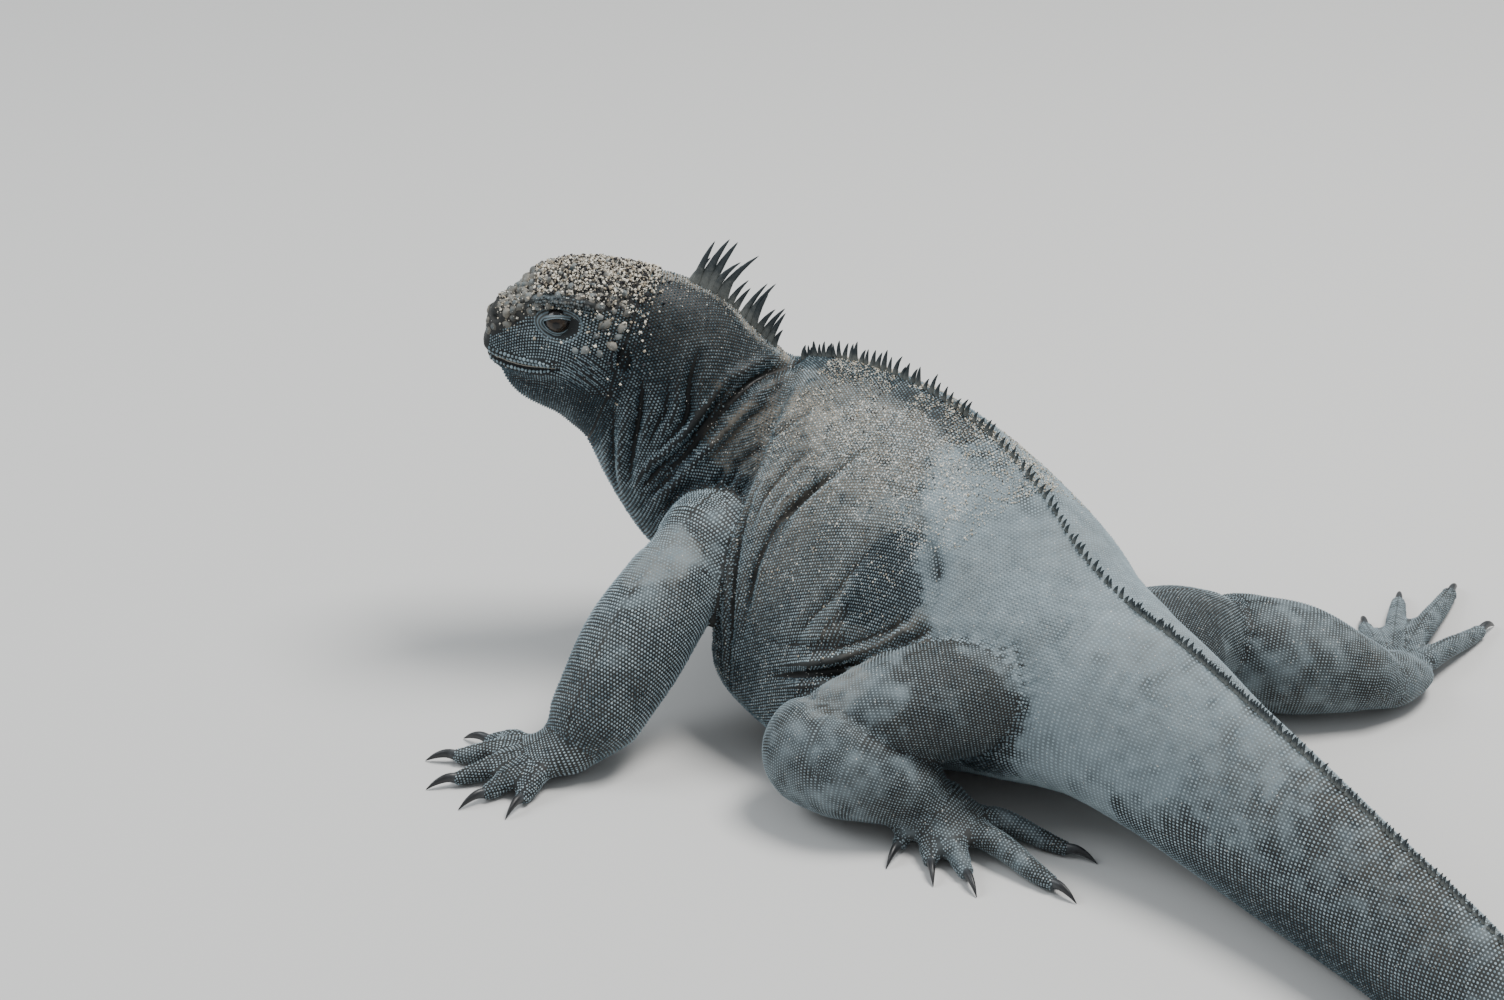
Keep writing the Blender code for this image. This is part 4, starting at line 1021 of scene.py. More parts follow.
def scale_rows(form: Tube, start: float, end: float, pitch_along: float,
               pitch_across: float) -> tuple[np.ndarray, np.ndarray, np.ndarray]:
    """Return scales set in rows round a form, staggered like bricks.

    Args:
        form: the form they lie on.
        start: the first place along it.
        end: the last place along it.
        pitch_along: centimetres between rows.
        pitch_across: centimetres between scales of a row.

    Returns:
        The place, the turn and half the row spacing of each scale.
    """
    dense = np.linspace(start, end, max(int((end - start) * 12), 8))
    around = np.radians(np.arange(-180, 180, 15))
    points = form.at(dense[:, None], around[None, :])
    gaps = np.linalg.norm(np.diff(points, axis=0), axis=2).mean(axis=1)
    run = np.concatenate([[0], np.cumsum(gaps)])
    places = np.interp(np.arange(0, run[-1], pitch_along), run, dense)
    half_turn = np.radians(np.linspace(0, 180, 91))
    found: list[tuple[np.ndarray, np.ndarray, np.ndarray]] = []
    for row, (near, far) in enumerate(zip(places, places[1:])):
        for side in (1, -1):
            turns = half_turn * side
            ring = form.at(np.full(91, near), turns)
            after = form.at(np.full(91, far), turns)
            spacing = np.linalg.norm(after - ring, axis=1)
            parts = np.clip(np.round(spacing / pitch_along), 1, 4)
            if row % 2:
                parts[spacing < pitch_along * 0.56] = 0
            lengths = np.concatenate([[0], np.cumsum(np.linalg.norm(np.diff(ring, axis=0), axis=1))])
            for part in range(int(parts.max())):
                shift = 0.25 if (row + part) % 2 else 0.75
                stops = np.arange(shift * pitch_across, lengths[-1], pitch_across)
                turn = np.interp(stops, lengths, turns)
                count = np.round(np.interp(stops, lengths, parts))
                keep = count > part
                share = part / np.maximum(count, 1)
                place = near + (far - near) * share
                half = np.interp(stops, lengths, spacing) / np.maximum(count, 1) / 2
                half = np.clip(half, pitch_along * 0.36, pitch_along * 0.75)
                found.append((place[keep], turn[keep], half[keep]))
    return tuple(np.concatenate(values) for values in zip(*found))


# How far in metres a scale's place on its form may be from the skin: as a rule, under
# the skin, on the head with its brows, and over a fold.
NEAR_SKIN = 0.0026
NEAR_INSIDE = 0.0019
BROW_REACH = 0.0048
FOLD_REACH = 0.0055
NOWHERE = 9.0
# The body's scales: the form's number, first and last place, spacing along and across, height.
BODY_RUNS = (
    ("head", 0, 1.6, HEAD_END, 0.118, 0.118, 0.055),
    ("neck", 0, HEAD_END, NECK_END, 0.13, 0.13, 0.065),
    ("trunk", 0, NECK_END, TRUNK_END, 0.13, 0.13, 0.058),
    ("tail", 0, TRUNK_END, TAIL_END - 0.05, 0.17, 0.132, 0.032),
)


def spread_out(spots: np.ndarray, apart: float) -> np.ndarray:
    """Return which of many places stay when none may be nearer than so far to an earlier one."""
    tree = point_tree(spots)
    keep = np.ones(len(spots), bool)
    for index, point in enumerate(spots.tolist()):
        if keep[index]:
            crowded = [other for _, other, _ in tree.find_range(point, apart) if other > index]
            keep[crowded] = False
    return keep


@dataclass
class ScaleCoat:
    """The small raised scales that lie in rows over the whole skin.

    Scales stay above the floor gap, in metres. They keep apart by a share of their
    spacing, and by another from those of forms laid before. No piece holds more than
    the limit.
    """

    skin: Skin
    finish: "HideFinish"
    limit: int = 32000
    floor_gap: float = 0.0012
    apart: float = 0.62
    apart_from_others: float = 0.72

    def lay(self, number: int, along: np.ndarray, turn: np.ndarray, reach_along: np.ndarray,
            reach_across: float, height: float) -> Grains:
        """Set scales of one form down on the skin, leaving out those inside another form."""
        form = self.skin.forms[number]
        points = to_row(form.at(along, turn))
        ahead = form.at(along + 0.04, turn) - form.at(along - 0.04, turn)
        tree = self.skin.search()
        found = [tree.find_nearest(Vector(point), FOLD_REACH) for point in points]
        crease_and_painted_shade = np.array([NOWHERE if hit[0] is None else self.skin.face_crease_and_painted_shade[hit[2]] for hit in found])
        away = np.array([NOWHERE if hit[0] is None else hit[3] for hit in found])
        above = np.array([NOWHERE if hit[0] is None else (Vector(point) - hit[0]) @ hit[1]
                          for hit, point in zip(found, points)])
        on_head = (number == 0) & (along < HEAD_END)
        keep = (away < np.where(on_head, BROW_REACH, NEAR_SKIN)) & ((above > -NEAR_INSIDE) | on_head)
        keep |= (away < FOLD_REACH) & (crease_and_painted_shade > 0.2) & (crease_and_painted_shade < 2) & (above > 0)
        crease_and_painted_shade = crease_and_painted_shade[keep]
        spots = np.array([hit[0][:] for hit, kept in zip(found, keep) if kept])
        normals = np.array([hit[1][:] for hit, kept in zip(found, keep) if kept])
        ways = ahead[keep]
        ways = unit(ways - normals * (ways * normals).sum(axis=1, keepdims=True))
        draws = np.random.default_rng(SEED + number)
        count = int(keep.sum())
        vary = draws.uniform(0.86, 1.12, count)
        return Grains(spots, normals, ways, reach_along[keep] * vary, np.full(count, reach_across) * vary,
                      np.full(count, height) * draws.uniform(0.75, 1.25, count), np.full(count, number),
                      along[keep], turn[keep], crease_and_painted_shade)

    def thin(self, grains: Grains, taken: list[np.ndarray], apart: float) -> Grains:
        """Drop the scales that stand on scales already laid."""
        if not taken:
            return grains
        others = np.vstack(taken)
        low, high = grains.points.min(axis=0) - 0.003, grains.points.max(axis=0) + 0.003
        others = others[np.all((others > low) & (others < high), axis=1)]
        if not len(others):
            return grains
        tree = point_tree(others)
        away = np.array([tree.find(point)[2] for point in grains.points.tolist()])
        return grains.chosen(away > apart * CM)

    def build(self) -> None:
        """Lay and mesh every scale."""
        groups: dict[str, list[Grains]] = {}
        taken: list[np.ndarray] = []
        runs = list(BODY_RUNS)
        for number, form in enumerate(self.skin.limbs, 1):
            pitch = {Region.ARM: 0.13, Region.LEG: 0.115}.get(form.region, 0.12)
            label = LIMBS[(number - 1) // PIECES_OF_LIMB].label
            height = 0.048 if form.region == Region.ARM else 0.028
            runs.append((label, number, 0.0, form.length, pitch, pitch, height))
        for label, number, start, end, pitch_along, pitch_across, height in runs:
            form = self.skin.forms[number]
            along, turn, half = scale_rows(form, start, end, pitch_along, pitch_across)
            grains = self.lay(number, along, turn, half * 0.97, pitch_across * 0.485, height)
            grains = grains.chosen(grains.points[:, 2] > self.floor_gap)
            if label == "head":
                grains = grains.chosen(HeadPlates.clear_of_features(grains))
                HeadPlates.stretch_cheeks(grains)
            grains = self.thin(grains, taken, pitch_across * self.apart_from_others) if number else grains
            grains = grains.chosen(spread_out(grains.points, pitch_across * self.apart * CM))
            taken.append(grains.points)
            groups.setdefault(label, []).append(grains)
        for label, parts in groups.items():
            every = Grains.together(parts)
            pieces = math.ceil(len(every.points) / self.limit)
            bounds = np.linspace(0, len(every.points), pieces + 1).astype(int)
            for index, (low, high) in enumerate(zip(bounds, bounds[1:]), 1):
                some = every.chosen(np.arange(low, high))
                name = f"scales_{label}_{index}"
                grain_piece(name, some, GrainShape.GRANULE, self.skin.forms, self.finish)
            LOG.info("scales on %s: %d", label, len(every.points))


# Half the width of one scale's patch on the baking map.
PATCH_RADIUS = 0.0015
# The least lift and its rise on the smooth scales of legs and feet, and on the head's plates; lift sets the
# painted shade at a scale's foot and the painted highlight at its tip, so these keep that contrast low.
SMOOTH_LIFT, SMOOTH_RISE = 0.27, 0.17
PLATE_LIFT, PLATE_RISE = 0.17, 0.14


def grain_size(shape: GrainShape) -> int:
    """Return how many corners one scale of a shape has."""
    return shape.value[0] * len(shape.value[1]) + 1


def grain_piece(name: str, grains: Grains, shape: GrainShape, forms: list[Tube],
                finish: "HideFinish") -> bpy.types.Object:
    """Mesh many raised scales as one piece, with their markings and their baking map.

    Args:
        name: the object's name.
        grains: where they stand and their sizes.
        shape: how each is formed.
        forms: the forms that they lie on.
        finish: their finish.

    Returns:
        The new object.
    """
    sides, widths, lifts = shape.value
    count = len(grains.points)
    across = np.cross(grains.normals, grains.ways)
    angles = np.arange(sides) / sides * 2 * np.pi
    rings, patch = [], []
    draws = np.random.default_rng(SEED + len(name) + count)
    rough = 0.0 if shape == GrainShape.GRANULE else 0.28
    uneven = (1 + rough * draws.uniform(-1, 0.8, (count, sides)))[:, :, None]
    for width, lift in zip(widths, lifts):
        ahead = grains.ways[:, None] * (np.cos(angles) * width)[None, :, None]
        aside = across[:, None] * (np.sin(angles) * width)[None, :, None]
        ring = uneven * (ahead * grains.reach_along[:, None, None] + aside * grains.reach_across[:, None, None])
        rise = grains.height * lift - (0.02 if lift == 0 else 0.0)
        rings.append(grains.points[:, None] + (ring + grains.normals[:, None] * rise[:, None, None]) * CM)
        patch.append(np.stack([np.cos(angles), np.sin(angles)], axis=-1) * PATCH_RADIUS * width)
    aslant = draws.uniform(-rough, rough, (count, 1)) * grains.ways
    aslant = aslant + draws.uniform(-rough, rough, (count, 1)) * across
    rise = grains.normals * grains.height[:, None]
    top = grains.points + (rise + aslant * grains.reach_across[:, None]) * CM
    points = np.concatenate([*rings, top[:, None]], axis=1)
    each = points.shape[1]
    base = (np.arange(count) * each)[:, None]
    side = np.arange(sides)
    following = (side + 1) % sides
    quads = []
    for ring in range(len(widths) - 1):
        a = ring * sides
        quad = np.stack([a + side, a + following, a + sides + following, a + sides + side], axis=-1)
        quads.append((base[:, :, None] + quad[None]).reshape(-1, 4))
    quads.append(np.zeros((0, 4), int))
    a = (len(widths) - 1) * sides
    crown = np.stack([a + side, a + following, np.full(sides, each - 1)], axis=-1)
    crown = (base[:, :, None] + crown[None]).reshape(-1, 3)
    piece = piece_from(name, points.reshape(-1, 3), [np.vstack(quads), crown])
    # Lift runs from 0 at a scale's foot to 1 at its tip; by it the hide gives painted shade at the foot and a
    # painted highlight at the tip.
    lift_values = np.concatenate([np.repeat(lifts, sides), [1.0]])
    tones = draws.uniform(0, 1, count)
    region = np.array([form.region for form in forms], dtype=object)[grains.form]
    smooth = ((region == Region.LEG) | (region == Region.FOOT))[:, None]
    marks = Colouring.of(to_maker(grains.points), region, grains.along, grains.turn, grains.crease_and_painted_shade)
    for key, values in marks.items():
        set_attribute(piece.data, key, np.repeat(values, each))
    lift = np.where(smooth, SMOOTH_LIFT + SMOOTH_RISE * lift_values, lift_values[None])
    set_attribute(piece.data, "lift", lift.ravel())
    set_attribute(piece.data, "tone", np.repeat(tones, each))
    flat = np.concatenate([*patch, np.zeros((1, 2))])
    bake_map(piece, bake_roots(grains)[:, None] + flat[None])
    return dress(piece, finish.material(), "skin")


def bake_map(piece: bpy.types.Object, spots: np.ndarray) -> None:
    """Store each vertex's spot on the baking map."""
    corners = np.zeros(len(piece.data.loops), np.int32)
    piece.data.loops.foreach_get("vertex_index", corners)
    layer = piece.data.uv_layers.new(name="OFBake")
    layer.data.foreach_set("uv", spots.reshape(-1, 2)[corners].astype(np.float32).ravel())


def bake_roots(grains: Grains) -> np.ndarray:
    """Return each scale's place on an unwrap of the forms, one band for each form."""
    numbers = sorted(set(grains.form.tolist()))
    roots = np.zeros((len(grains.form), 2))
    for band, number in enumerate(numbers):
        chosen = grains.form == number
        along = grains.along[chosen]
        spread = max(along.max() - along.min(), 1e-6)
        roots[chosen, 0] = 0.005 + 0.99 * (along - along.min()) / spread
        share = grains.turn[chosen] / (2 * np.pi) + 0.5
        roots[chosen, 1] = (band + 0.01 + 0.98 * share) / len(numbers)
    return roots


def dress(piece: bpy.types.Object, material: bpy.types.Material, slot: str,
          *replaced: str) -> bpy.types.Object:
    """Give a piece its material and its body, and hide the model's nodes that it stands for."""
    piece.data.materials.clear()
    piece.data.materials.append(material)
    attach(piece, "root")
    if replaced:
        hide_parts(*replaced)
    return piece


def blade(root: np.ndarray, upward: np.ndarray, backward: np.ndarray, length: float, thickness: float,
          curl: float, sides: int = 8) -> tuple[np.ndarray, np.ndarray, np.ndarray]:
    """Return the points, quads and end triangles of one crest spine, in centimetres."""
    sideways = np.cross(upward, backward)
    shape = ((-0.25, 1.1, 0.0), (0.0, 1.0, 0.01), (0.3, 0.8, 0.06), (0.6, 0.56, 0.2), (0.82, 0.34, 0.36),
             (0.95, 0.15, 0.48))
    angles = np.arange(sides) / sides * 2 * np.pi
    rings = []
    for rise, wide, back in shape:
        middle = root + upward * length * rise + backward * length * back * curl
        thin = max(thickness * 0.5 * wide, 0.018)
        rings.append(middle + backward * (np.cos(angles) * thickness * wide)[:, None]
                     - sideways * (np.sin(angles) * thin)[:, None])
    tip = root + upward * length + backward * length * 0.53 * curl
    points = np.vstack([*rings, tip[None], (root - upward * length * 0.25)[None]])
    side = np.arange(sides)
    following = (side + 1) % sides
    last = (len(shape) - 1) * sides
    end = np.stack([last + side, np.full(sides, len(points) - 2), last + following], axis=-1)
    base = np.stack([side, following, np.full(sides, len(points) - 1)], axis=-1)
    return points, tube_faces(len(shape), sides), np.vstack([end, base])


# The nape's spines from the front, as the photo shows them: how long each is.
NAPE_STRETCH = (9.02, 11.42)
NAPE_SPINES = (1.2, 1.9, 2.2, 2.1, 1.6, 2.05, 1.5, 1.1, 1.05, 1.5, 1.75, 1.6, 1.2, 1.45, 1.3, 0.8)


@dataclass
class Crest:
    """The row of spines from the nape to the end of the tail."""

    skin: Skin
    finish: "HornFinish"
    back: int = 68
    tail: tuple[int, ...] = (64, 48, 42, 46)

    def runs(self, draws: np.random.Generator) -> list[tuple[float, float]]:
        """Return the place and length of every spine."""
        found = []
        for index, length in enumerate(NAPE_SPINES):
            first, last = NAPE_STRETCH
            place = first + (last - first) * (index + draws.uniform(0.3, 0.7)) / len(NAPE_SPINES)
            found.append((place, length * draws.uniform(0.95, 1.05)))
        stretches = [(NECK_END + 0.3, TRUNK_END, self.back, (0.62, 0.75, 0.72, 0.6, 0.5, 0.42))]
        starts = (TRUNK_END, TRUNK_END + 3, TRUNK_END + 5, TRUNK_END + 7, TAIL_END - 0.3)
        lengths = (0.42, 0.4, 0.32, 0.2, 0.12)
        stretches += [(starts[k], starts[k + 1], count, (lengths[k], lengths[k + 1]))
                      for k, count in enumerate(self.tail)]
        for start, end, count, sizes in stretches:
            for index in range(count):
                share = (index + draws.uniform(0.25, 0.75)) / count
                length = float(np.interp(share, np.linspace(0, 1, len(sizes)), sizes))
                found.append((start + (end - start) * share, length * draws.uniform(0.68, 1.18)))
        return found

    def build(self) -> bpy.types.Object:
        """Return every spine as one piece."""
        draws = np.random.default_rng(SEED + 40)
        points, quads, ends, lifts = [], [], [], []
        total = 0
        body = self.skin.body
        for place, length in self.runs(draws):
            top = body.at(place, 0.0)
            ahead = unit(body.at(place + 0.06, 0.0) - body.at(place - 0.06, 0.0))
            upward = unit(top - body.at(place, math.pi))
            backward = unit(ahead - upward * (ahead @ upward))
            upward = unit(np.cross(np.cross(ahead, upward), ahead)) if place > NECK_END else upward
            across = np.cross(upward, backward)
            lean = unit(backward + across * draws.uniform(-0.3, 0.3))
            rise = unit(upward + across * draws.uniform(-0.1, 0.1) + backward * draws.uniform(-0.14, 0.12))
            thickness = 0.095 + 0.06 * length
            shape, faces, end_faces = blade(top, rise, lean, length, thickness, draws.uniform(0.25, 0.75))
            points.append(shape)
            quads.append(faces + total)
            ends.append(end_faces + total)
            lifts.append(np.repeat([0.0, 0.0, 0.3, 0.6, 0.85, 0.95], 8).tolist() + [1.0, 0.0])
            total += len(shape)
        piece = piece_from("crest_spines", to_row(np.vstack(points)), [np.vstack(quads), np.vstack(ends)])
        face_outward(piece)
        set_attribute(piece.data, "lift", np.concatenate(lifts))
        LOG.info("crest: %d spines", len(points))
        return dress(piece, self.finish.material(), "skin")


@dataclass
class HeadPlates:
    """The horny plates of crown, snout, brows and lips, and the rims of lids."""

    skin: Skin
    finish: "HideFinish"

    @staticmethod
    def frame_of(points: np.ndarray) -> tuple[np.ndarray, np.ndarray, np.ndarray]:
        """Return how far back, how far to the left and how high points of the head are."""
        local = to_maker(points) - SNOUT
        return -(local @ HEADING), local @ HEAD_LEFT, local[:, 2]

    @staticmethod
    def clear_of_features(grains: Grains) -> np.ndarray:
        """Return which scales keep clear of eyes, nostrils, ears, mouth and crown."""
        back, _, height = HeadPlates.frame_of(grains.points)
        eye = ((back - EYE_BACK) / 0.82) ** 2 + ((height - EYE_HEIGHT) / 0.52) ** 2 > 1
        nostril = (back - NOSTRIL_BACK) ** 2 + (height - NOSTRIL_HEIGHT) ** 2 > 0.26 ** 2
        drum = ((back - EARDRUM_BACK) / 0.3) ** 2 + ((height - EARDRUM_HEIGHT) / 0.42) ** 2 > 1
        above = height - mouth_height(back)
        narrow = 1 - 0.9 * smooth_step(back, MOUTH_CORNER - 0.5, MOUTH_CORNER + 0.05)
        lips = (above > 0.44 * narrow) | (above < -0.26 * narrow) | (back > MOUTH_CORNER + 0.1)
        return eye & nostril & drum & lips & ~HeadPlates.is_crown(back, grains.turn)

    @staticmethod
    def is_crown(back: np.ndarray, turn: np.ndarray) -> np.ndarray:
        """Return where the big plates of snout and crown are."""
        edge = np.interp(back, [0, 0.8, 1.8, 3.0, 4.5, 5.6, 6.0], [80, 66, 56, 50, 50, 40, 0])
        return np.degrees(np.abs(turn)) < edge

    def set_down(self, back: float, side: float, height: float,
                 way: np.ndarray) -> tuple[Vector, Vector] | None:
        """Return the skin's place and normal along a ray from inside the head."""
        origin = Vector(to_row(head_point(back, side, height)))
        place, normal, _, _ = self.skin.search().ray_cast(origin, Vector(way))
        return None if place is None else (place, normal)

    @staticmethod
    def stretch_cheeks(grains: Grains) -> None:
        """Draw out the scales of the cheeks along lines from the corner of the mouth to the jaw."""
        back, _, height = HeadPlates.frame_of(grains.points)
        share = np.exp(-((back - 3.7) / 1.0) ** 2 - ((height - 12.5) / 0.85) ** 2)
        share = smooth_step(share, 0.35, 0.75)[:, None]
        slope = unit(-HEADING * 0.75 - UPWARD * 0.66)
        slope = unit(slope - grains.normals * (grains.normals @ slope)[:, None])
        grains.ways = unit(grains.ways * (1 - share) + slope * share)
        grains.reach_along = grains.reach_along * (1 + 1.0 * share[:, 0])
        grains.reach_across = grains.reach_across * (1 - 0.2 * share[:, 0])

    def crown(self) -> None:
        """Build the blunt cones and plates over snout and crown."""
        draws = np.random.default_rng(SEED + 3)
        body = self.skin.body
        along, turn, _ = scale_rows(body, 1.2, HEAD_END - 0.1, 0.34, 0.36)
        coat = ScaleCoat(self.skin, self.finish)
        jitter = draws.uniform(-0.05, 0.05, len(along))
        grains = coat.lay(0, along + jitter, turn + jitter, np.full(len(along), 0.2), 0.2, 0.13)
        back, _, height = self.frame_of(grains.points)
        keep = self.is_crown(back, grains.turn)
        keep &= (back - NOSTRIL_BACK) ** 2 + (height - NOSTRIL_HEIGHT) ** 2 > 0.3 ** 2
        grains = grains.chosen(keep)
        back = back[keep]
        size = draws.uniform(0.7, 1.2, len(back))
        grains.reach_along *= size
        grains.reach_across *= size
        tall = np.interp(back, [0, 1.0, 2.2, 3.6, 6], [0.5, 1.0, 1.4, 1.1, 0.8])
        grains.height *= tall * draws.uniform(0.7, 1.4, len(back))
        piece = grain_piece("head_plates", grains, GrainShape.CONE, self.skin.forms, self.finish)
        count = len(grains.points)
        shade = draws.uniform(0, 1, count)
        self.tone(piece, 0.15 + 0.5 * shade, 0.25 + 0.5 * draws.uniform(0, 1, count), 0.4)

    def tone(self, piece: bpy.types.Object, tint: np.ndarray, dust: np.ndarray, sand: float) -> None:
        """Colour each plate of a piece by its own tint and dust."""
        many = len(piece.data.vertices)
        each = many // len(tint)
        set_attribute(piece.data, "tint", np.repeat(tint, each))
        set_attribute(piece.data, "dust", np.repeat(dust, each))
        set_attribute(piece.data, "sand", np.full(many, sand))
        lift = np.zeros(many, np.float32)
        piece.data.attributes["lift"].data.foreach_get("value", lift)
        set_attribute(piece.data, "lift", PLATE_LIFT + PLATE_RISE * lift)

    def single_plates(self, name: str, spots: Sequence[tuple[float, float, float]], from_above: bool,
                      shape: GrainShape, tint: tuple[float, float], dust: tuple[float, float]) -> None:
        """Build a few large plates at given places on both sides of the head.

        Args:
            name: the object's name.
            spots: for each, how far back it is, its height or distance aside, and its radius.
            from_above: whether the second number is a distance aside, seen from above.
            shape: the plates' form.
            tint: the least and the most tint.
            dust: the least and the most dust.
        """
        draws = np.random.default_rng(SEED + len(name))
        places, normals, ways, sizes = [], [], [], []
        for side in (1, -1):
            for back, other, radius in spots:
                back = back + draws.uniform(-0.05, 0.05) * (side < 0)
                hit = (self.set_down(back, other * side, 13.5, UPWARD) if from_above
                       else self.set_down(back, 0.0, other, HEAD_LEFT * side))
                if hit is None:
                    continue
                normal = np.array(hit[1])
                turned = unit(draws.normal(size=3))
                places.append(hit[0][:])
                normals.append(normal)
                ways.append(unit(turned - normal * (turned @ normal)))
                sizes.append(radius * draws.uniform(0.9, 1.1))
        count, sizes = len(places), np.array(sizes)
        grains = Grains(np.array(places), np.array(normals), np.array(ways), sizes,
                        sizes * draws.uniform(0.7, 1.0, count), sizes * draws.uniform(0.5, 0.8, count),
                        np.zeros(count, int), np.linspace(2, 7, count), np.linspace(-1, 1, count),
                        np.zeros(count))
        piece = grain_piece(name, grains, shape, self.skin.forms, self.finish)
        self.tone(piece, draws.uniform(*tint, count), draws.uniform(*dust, count), 0.3)

    def mouth_edges(self) -> None:
        """Build the thin pale edge of skin along the line of the mouth."""
        path = []
        for side in (1, -1):
            half = []
            for back in np.linspace(MOUTH_CORNER, 1.15, 16):
                half.append(self.set_down(back, 0.0, float(mouth_height(back)) + 0.03, HEAD_LEFT * side))
            for angle in np.radians(np.linspace(0, 90, 12)[1:]):
                way = HEAD_LEFT * side * math.cos(angle) + HEADING * math.sin(angle)
                height = float(mouth_height(1.15 * (1 - math.sin(angle)))) + 0.03
                half.append(self.set_down(1.15, 0.0, height, way))
            half = [np.array(hit[0]) / CM for hit in half if hit is not None]
            path += half if side > 0 else half[::-1][1:]
        points = np.array(path)
        points = through(points, np.linspace(0, len(points) - 1, (len(points) - 1) * 2 + 1))
        way = unit(np.gradient(points, axis=0))
        aside = unit(np.cross(way, UPWARD))
        upward = np.cross(aside, way)
        outward = np.sign((aside * (points - points.mean(axis=0))).sum(axis=1))
        points = points + aside * (outward * 0.05)[:, None]
        angles = np.arange(6) / 6 * 2 * np.pi
        radius = 0.036 * np.sin(np.linspace(0.12, np.pi - 0.12, len(points))) ** 0.4
        spokes = (aside[:, None] * np.cos(angles)[None, :, None]
                  + upward[:, None] * np.sin(angles)[None, :, None])
        rings = points[:, None] + spokes * radius[:, None, None]
        piece = capped_tube("mouth_edge", rings * CM, points[[0, -1]] * CM)
        paint(piece.data, tint=0.8, dust=0.9, damp=0.0, sand=0.0, tone=0.5, lift=0.25)
        dress(piece, self.finish.material(), "skin")

    def edge_row(self, name: str, count: int, reach: tuple[float, float, float],
                 spot: Callable[[float], tuple[float, float]]) -> bpy.types.Object:
        """Return a row of plates along a line on both sides of the face.

        Args:
            name: the object's name.
            count: plates on each side.
            reach: half length, half height and how far they stand out, in centimetres.
            spot: gives how far back and how high a plate is, from its share of the row.

        Returns:
            The row of plates.
        """
        draws = np.random.default_rng(SEED + count)
        spots, normals, ways = [], [], []
        for side in (1, -1):
            for index in range(count):
                back, height = spot((index + 0.5) / count)
                hit = self.set_down(back, 0.0, height, HEAD_LEFT * side)
                if hit is None:
                    continue
                ahead = unit(-HEADING - np.array(hit[1]) * (-HEADING @ np.array(hit[1])))
                spots.append(hit[0][:])
                normals.append(hit[1][:])
                ways.append(ahead)
        many = len(spots)
        vary = draws.uniform(0.9, 1.1, many)
        grains = Grains(np.array(spots), np.array(normals), np.array(ways), reach[0] * vary, reach[1] * vary,
                        reach[2] * draws.uniform(0.8, 1.2, many), np.zeros(many, int),
                        np.linspace(2, 7, many), np.linspace(-1, 1, many), np.zeros(many))
        return grain_piece(name, grains, GrainShape.PLATE, self.skin.forms, self.finish)

    def lids(self, side: int, centre: np.ndarray) -> bpy.types.Object:
        """Return the wrinkled lids of one eye, open as an almond, closed behind."""
        outward = HEAD_LEFT * side
        around, deep = 60, 22
        angles = np.arange(around) / around * 2 * np.pi
        upper = np.sin(angles) > 0
        tree = self.skin.search()
        rings, lifts = [], []
        edge = np.stack([0.54 * np.cos(angles), np.where(upper, 0.27, 0.33) * np.sin(angles) * (
            1 - 0.3 * np.cos(angles) ** 2)], axis=-1)
        outer = np.stack([1.02 * np.cos(angles), np.where(upper, 0.6, 0.78) * np.sin(angles)], axis=-1)
        for ring in range(deep):
            share = ring / (deep - 1)
            flat = edge + (outer - edge) * share
            ball = np.sqrt(np.clip(0.565 ** 2 - (flat ** 2).sum(axis=1), 0.004, 1))
            level = []
            for ahead, above in flat:
                start = centre + HEADING * ahead + UPWARD * above + outward * 2.5
                hit = tree.ray_cast(Vector(to_row(start)), Vector(-outward))
                level.append(0.3 if hit[0] is None else 2.5 - hit[3] / CM)
            level = np.array(level) - 0.05 * smooth_step(share, 0.8, 1.0)
            blend = smooth_step(share, 0.05, 0.75)
            bulge = np.maximum(ball, 0.2) * (1 - blend) + level * blend
            bulge = bulge + 0.07 * math.sin(math.pi * min(share * 1.3, 1.0)) * np.where(upper, 0.7, 1.0)
            crease_and_painted_shade = math.cos(share * math.pi * 8)
            bulge = bulge + 0.016 * crease_and_painted_shade * (1 - share) * np.where(upper, 0.6, 1.0)
            rings.append(centre + HEADING * flat[:, :1] + UPWARD * flat[:, 1:2] + outward * bulge[:, None])
            # By lift, the lids' wrinkle crests and rim get a painted highlight and the wrinkle grooves painted
            # shade.
            rim = 0.55 * math.exp(-(share / 0.08) ** 2)
            lifts.append(np.full(around, 0.16 + 0.3 * (0.5 + 0.5 * crease_and_painted_shade) + rim))
        for ring in (deep - 1, 0):
            rings.append(rings[ring] - outward * 0.16)
            lifts.append(np.full(around, 0.1))
        count = len(rings)
        ring = np.arange(count)[:, None]
        step = np.arange(around)[None, :]
        after, beside = (ring + 1) % count, (step + 1) % around
        faces = np.stack([ring * around + step, after * around + step, after * around + beside,
                          ring * around + beside], axis=-1).reshape(-1, 4)
        piece = piece_from(f"lids_{'left' if side > 0 else 'right'}", to_row(np.vstack(rings)), [faces])
        face_outward(piece)
        paint(piece.data, tint=0.22, dust=0.12, damp=0.1, sand=0.0, tone=0.5)
        set_attribute(piece.data, "lift", np.concatenate(lifts))
        return dress(piece, self.finish.material(), "skin")

    def build(self) -> None:
        """Build every plate of the head."""
        self.crown()
        self.single_plates("forehead_knobs", FOREHEAD_KNOBS, True, GrainShape.CONE, (0.25, 0.6), (0.3, 0.8))
        self.single_plates("temple_plates", TEMPLE_PLATES, False, GrainShape.PLATE, (0.2, 0.8), (0.3, 0.9))
        self.mouth_edges()

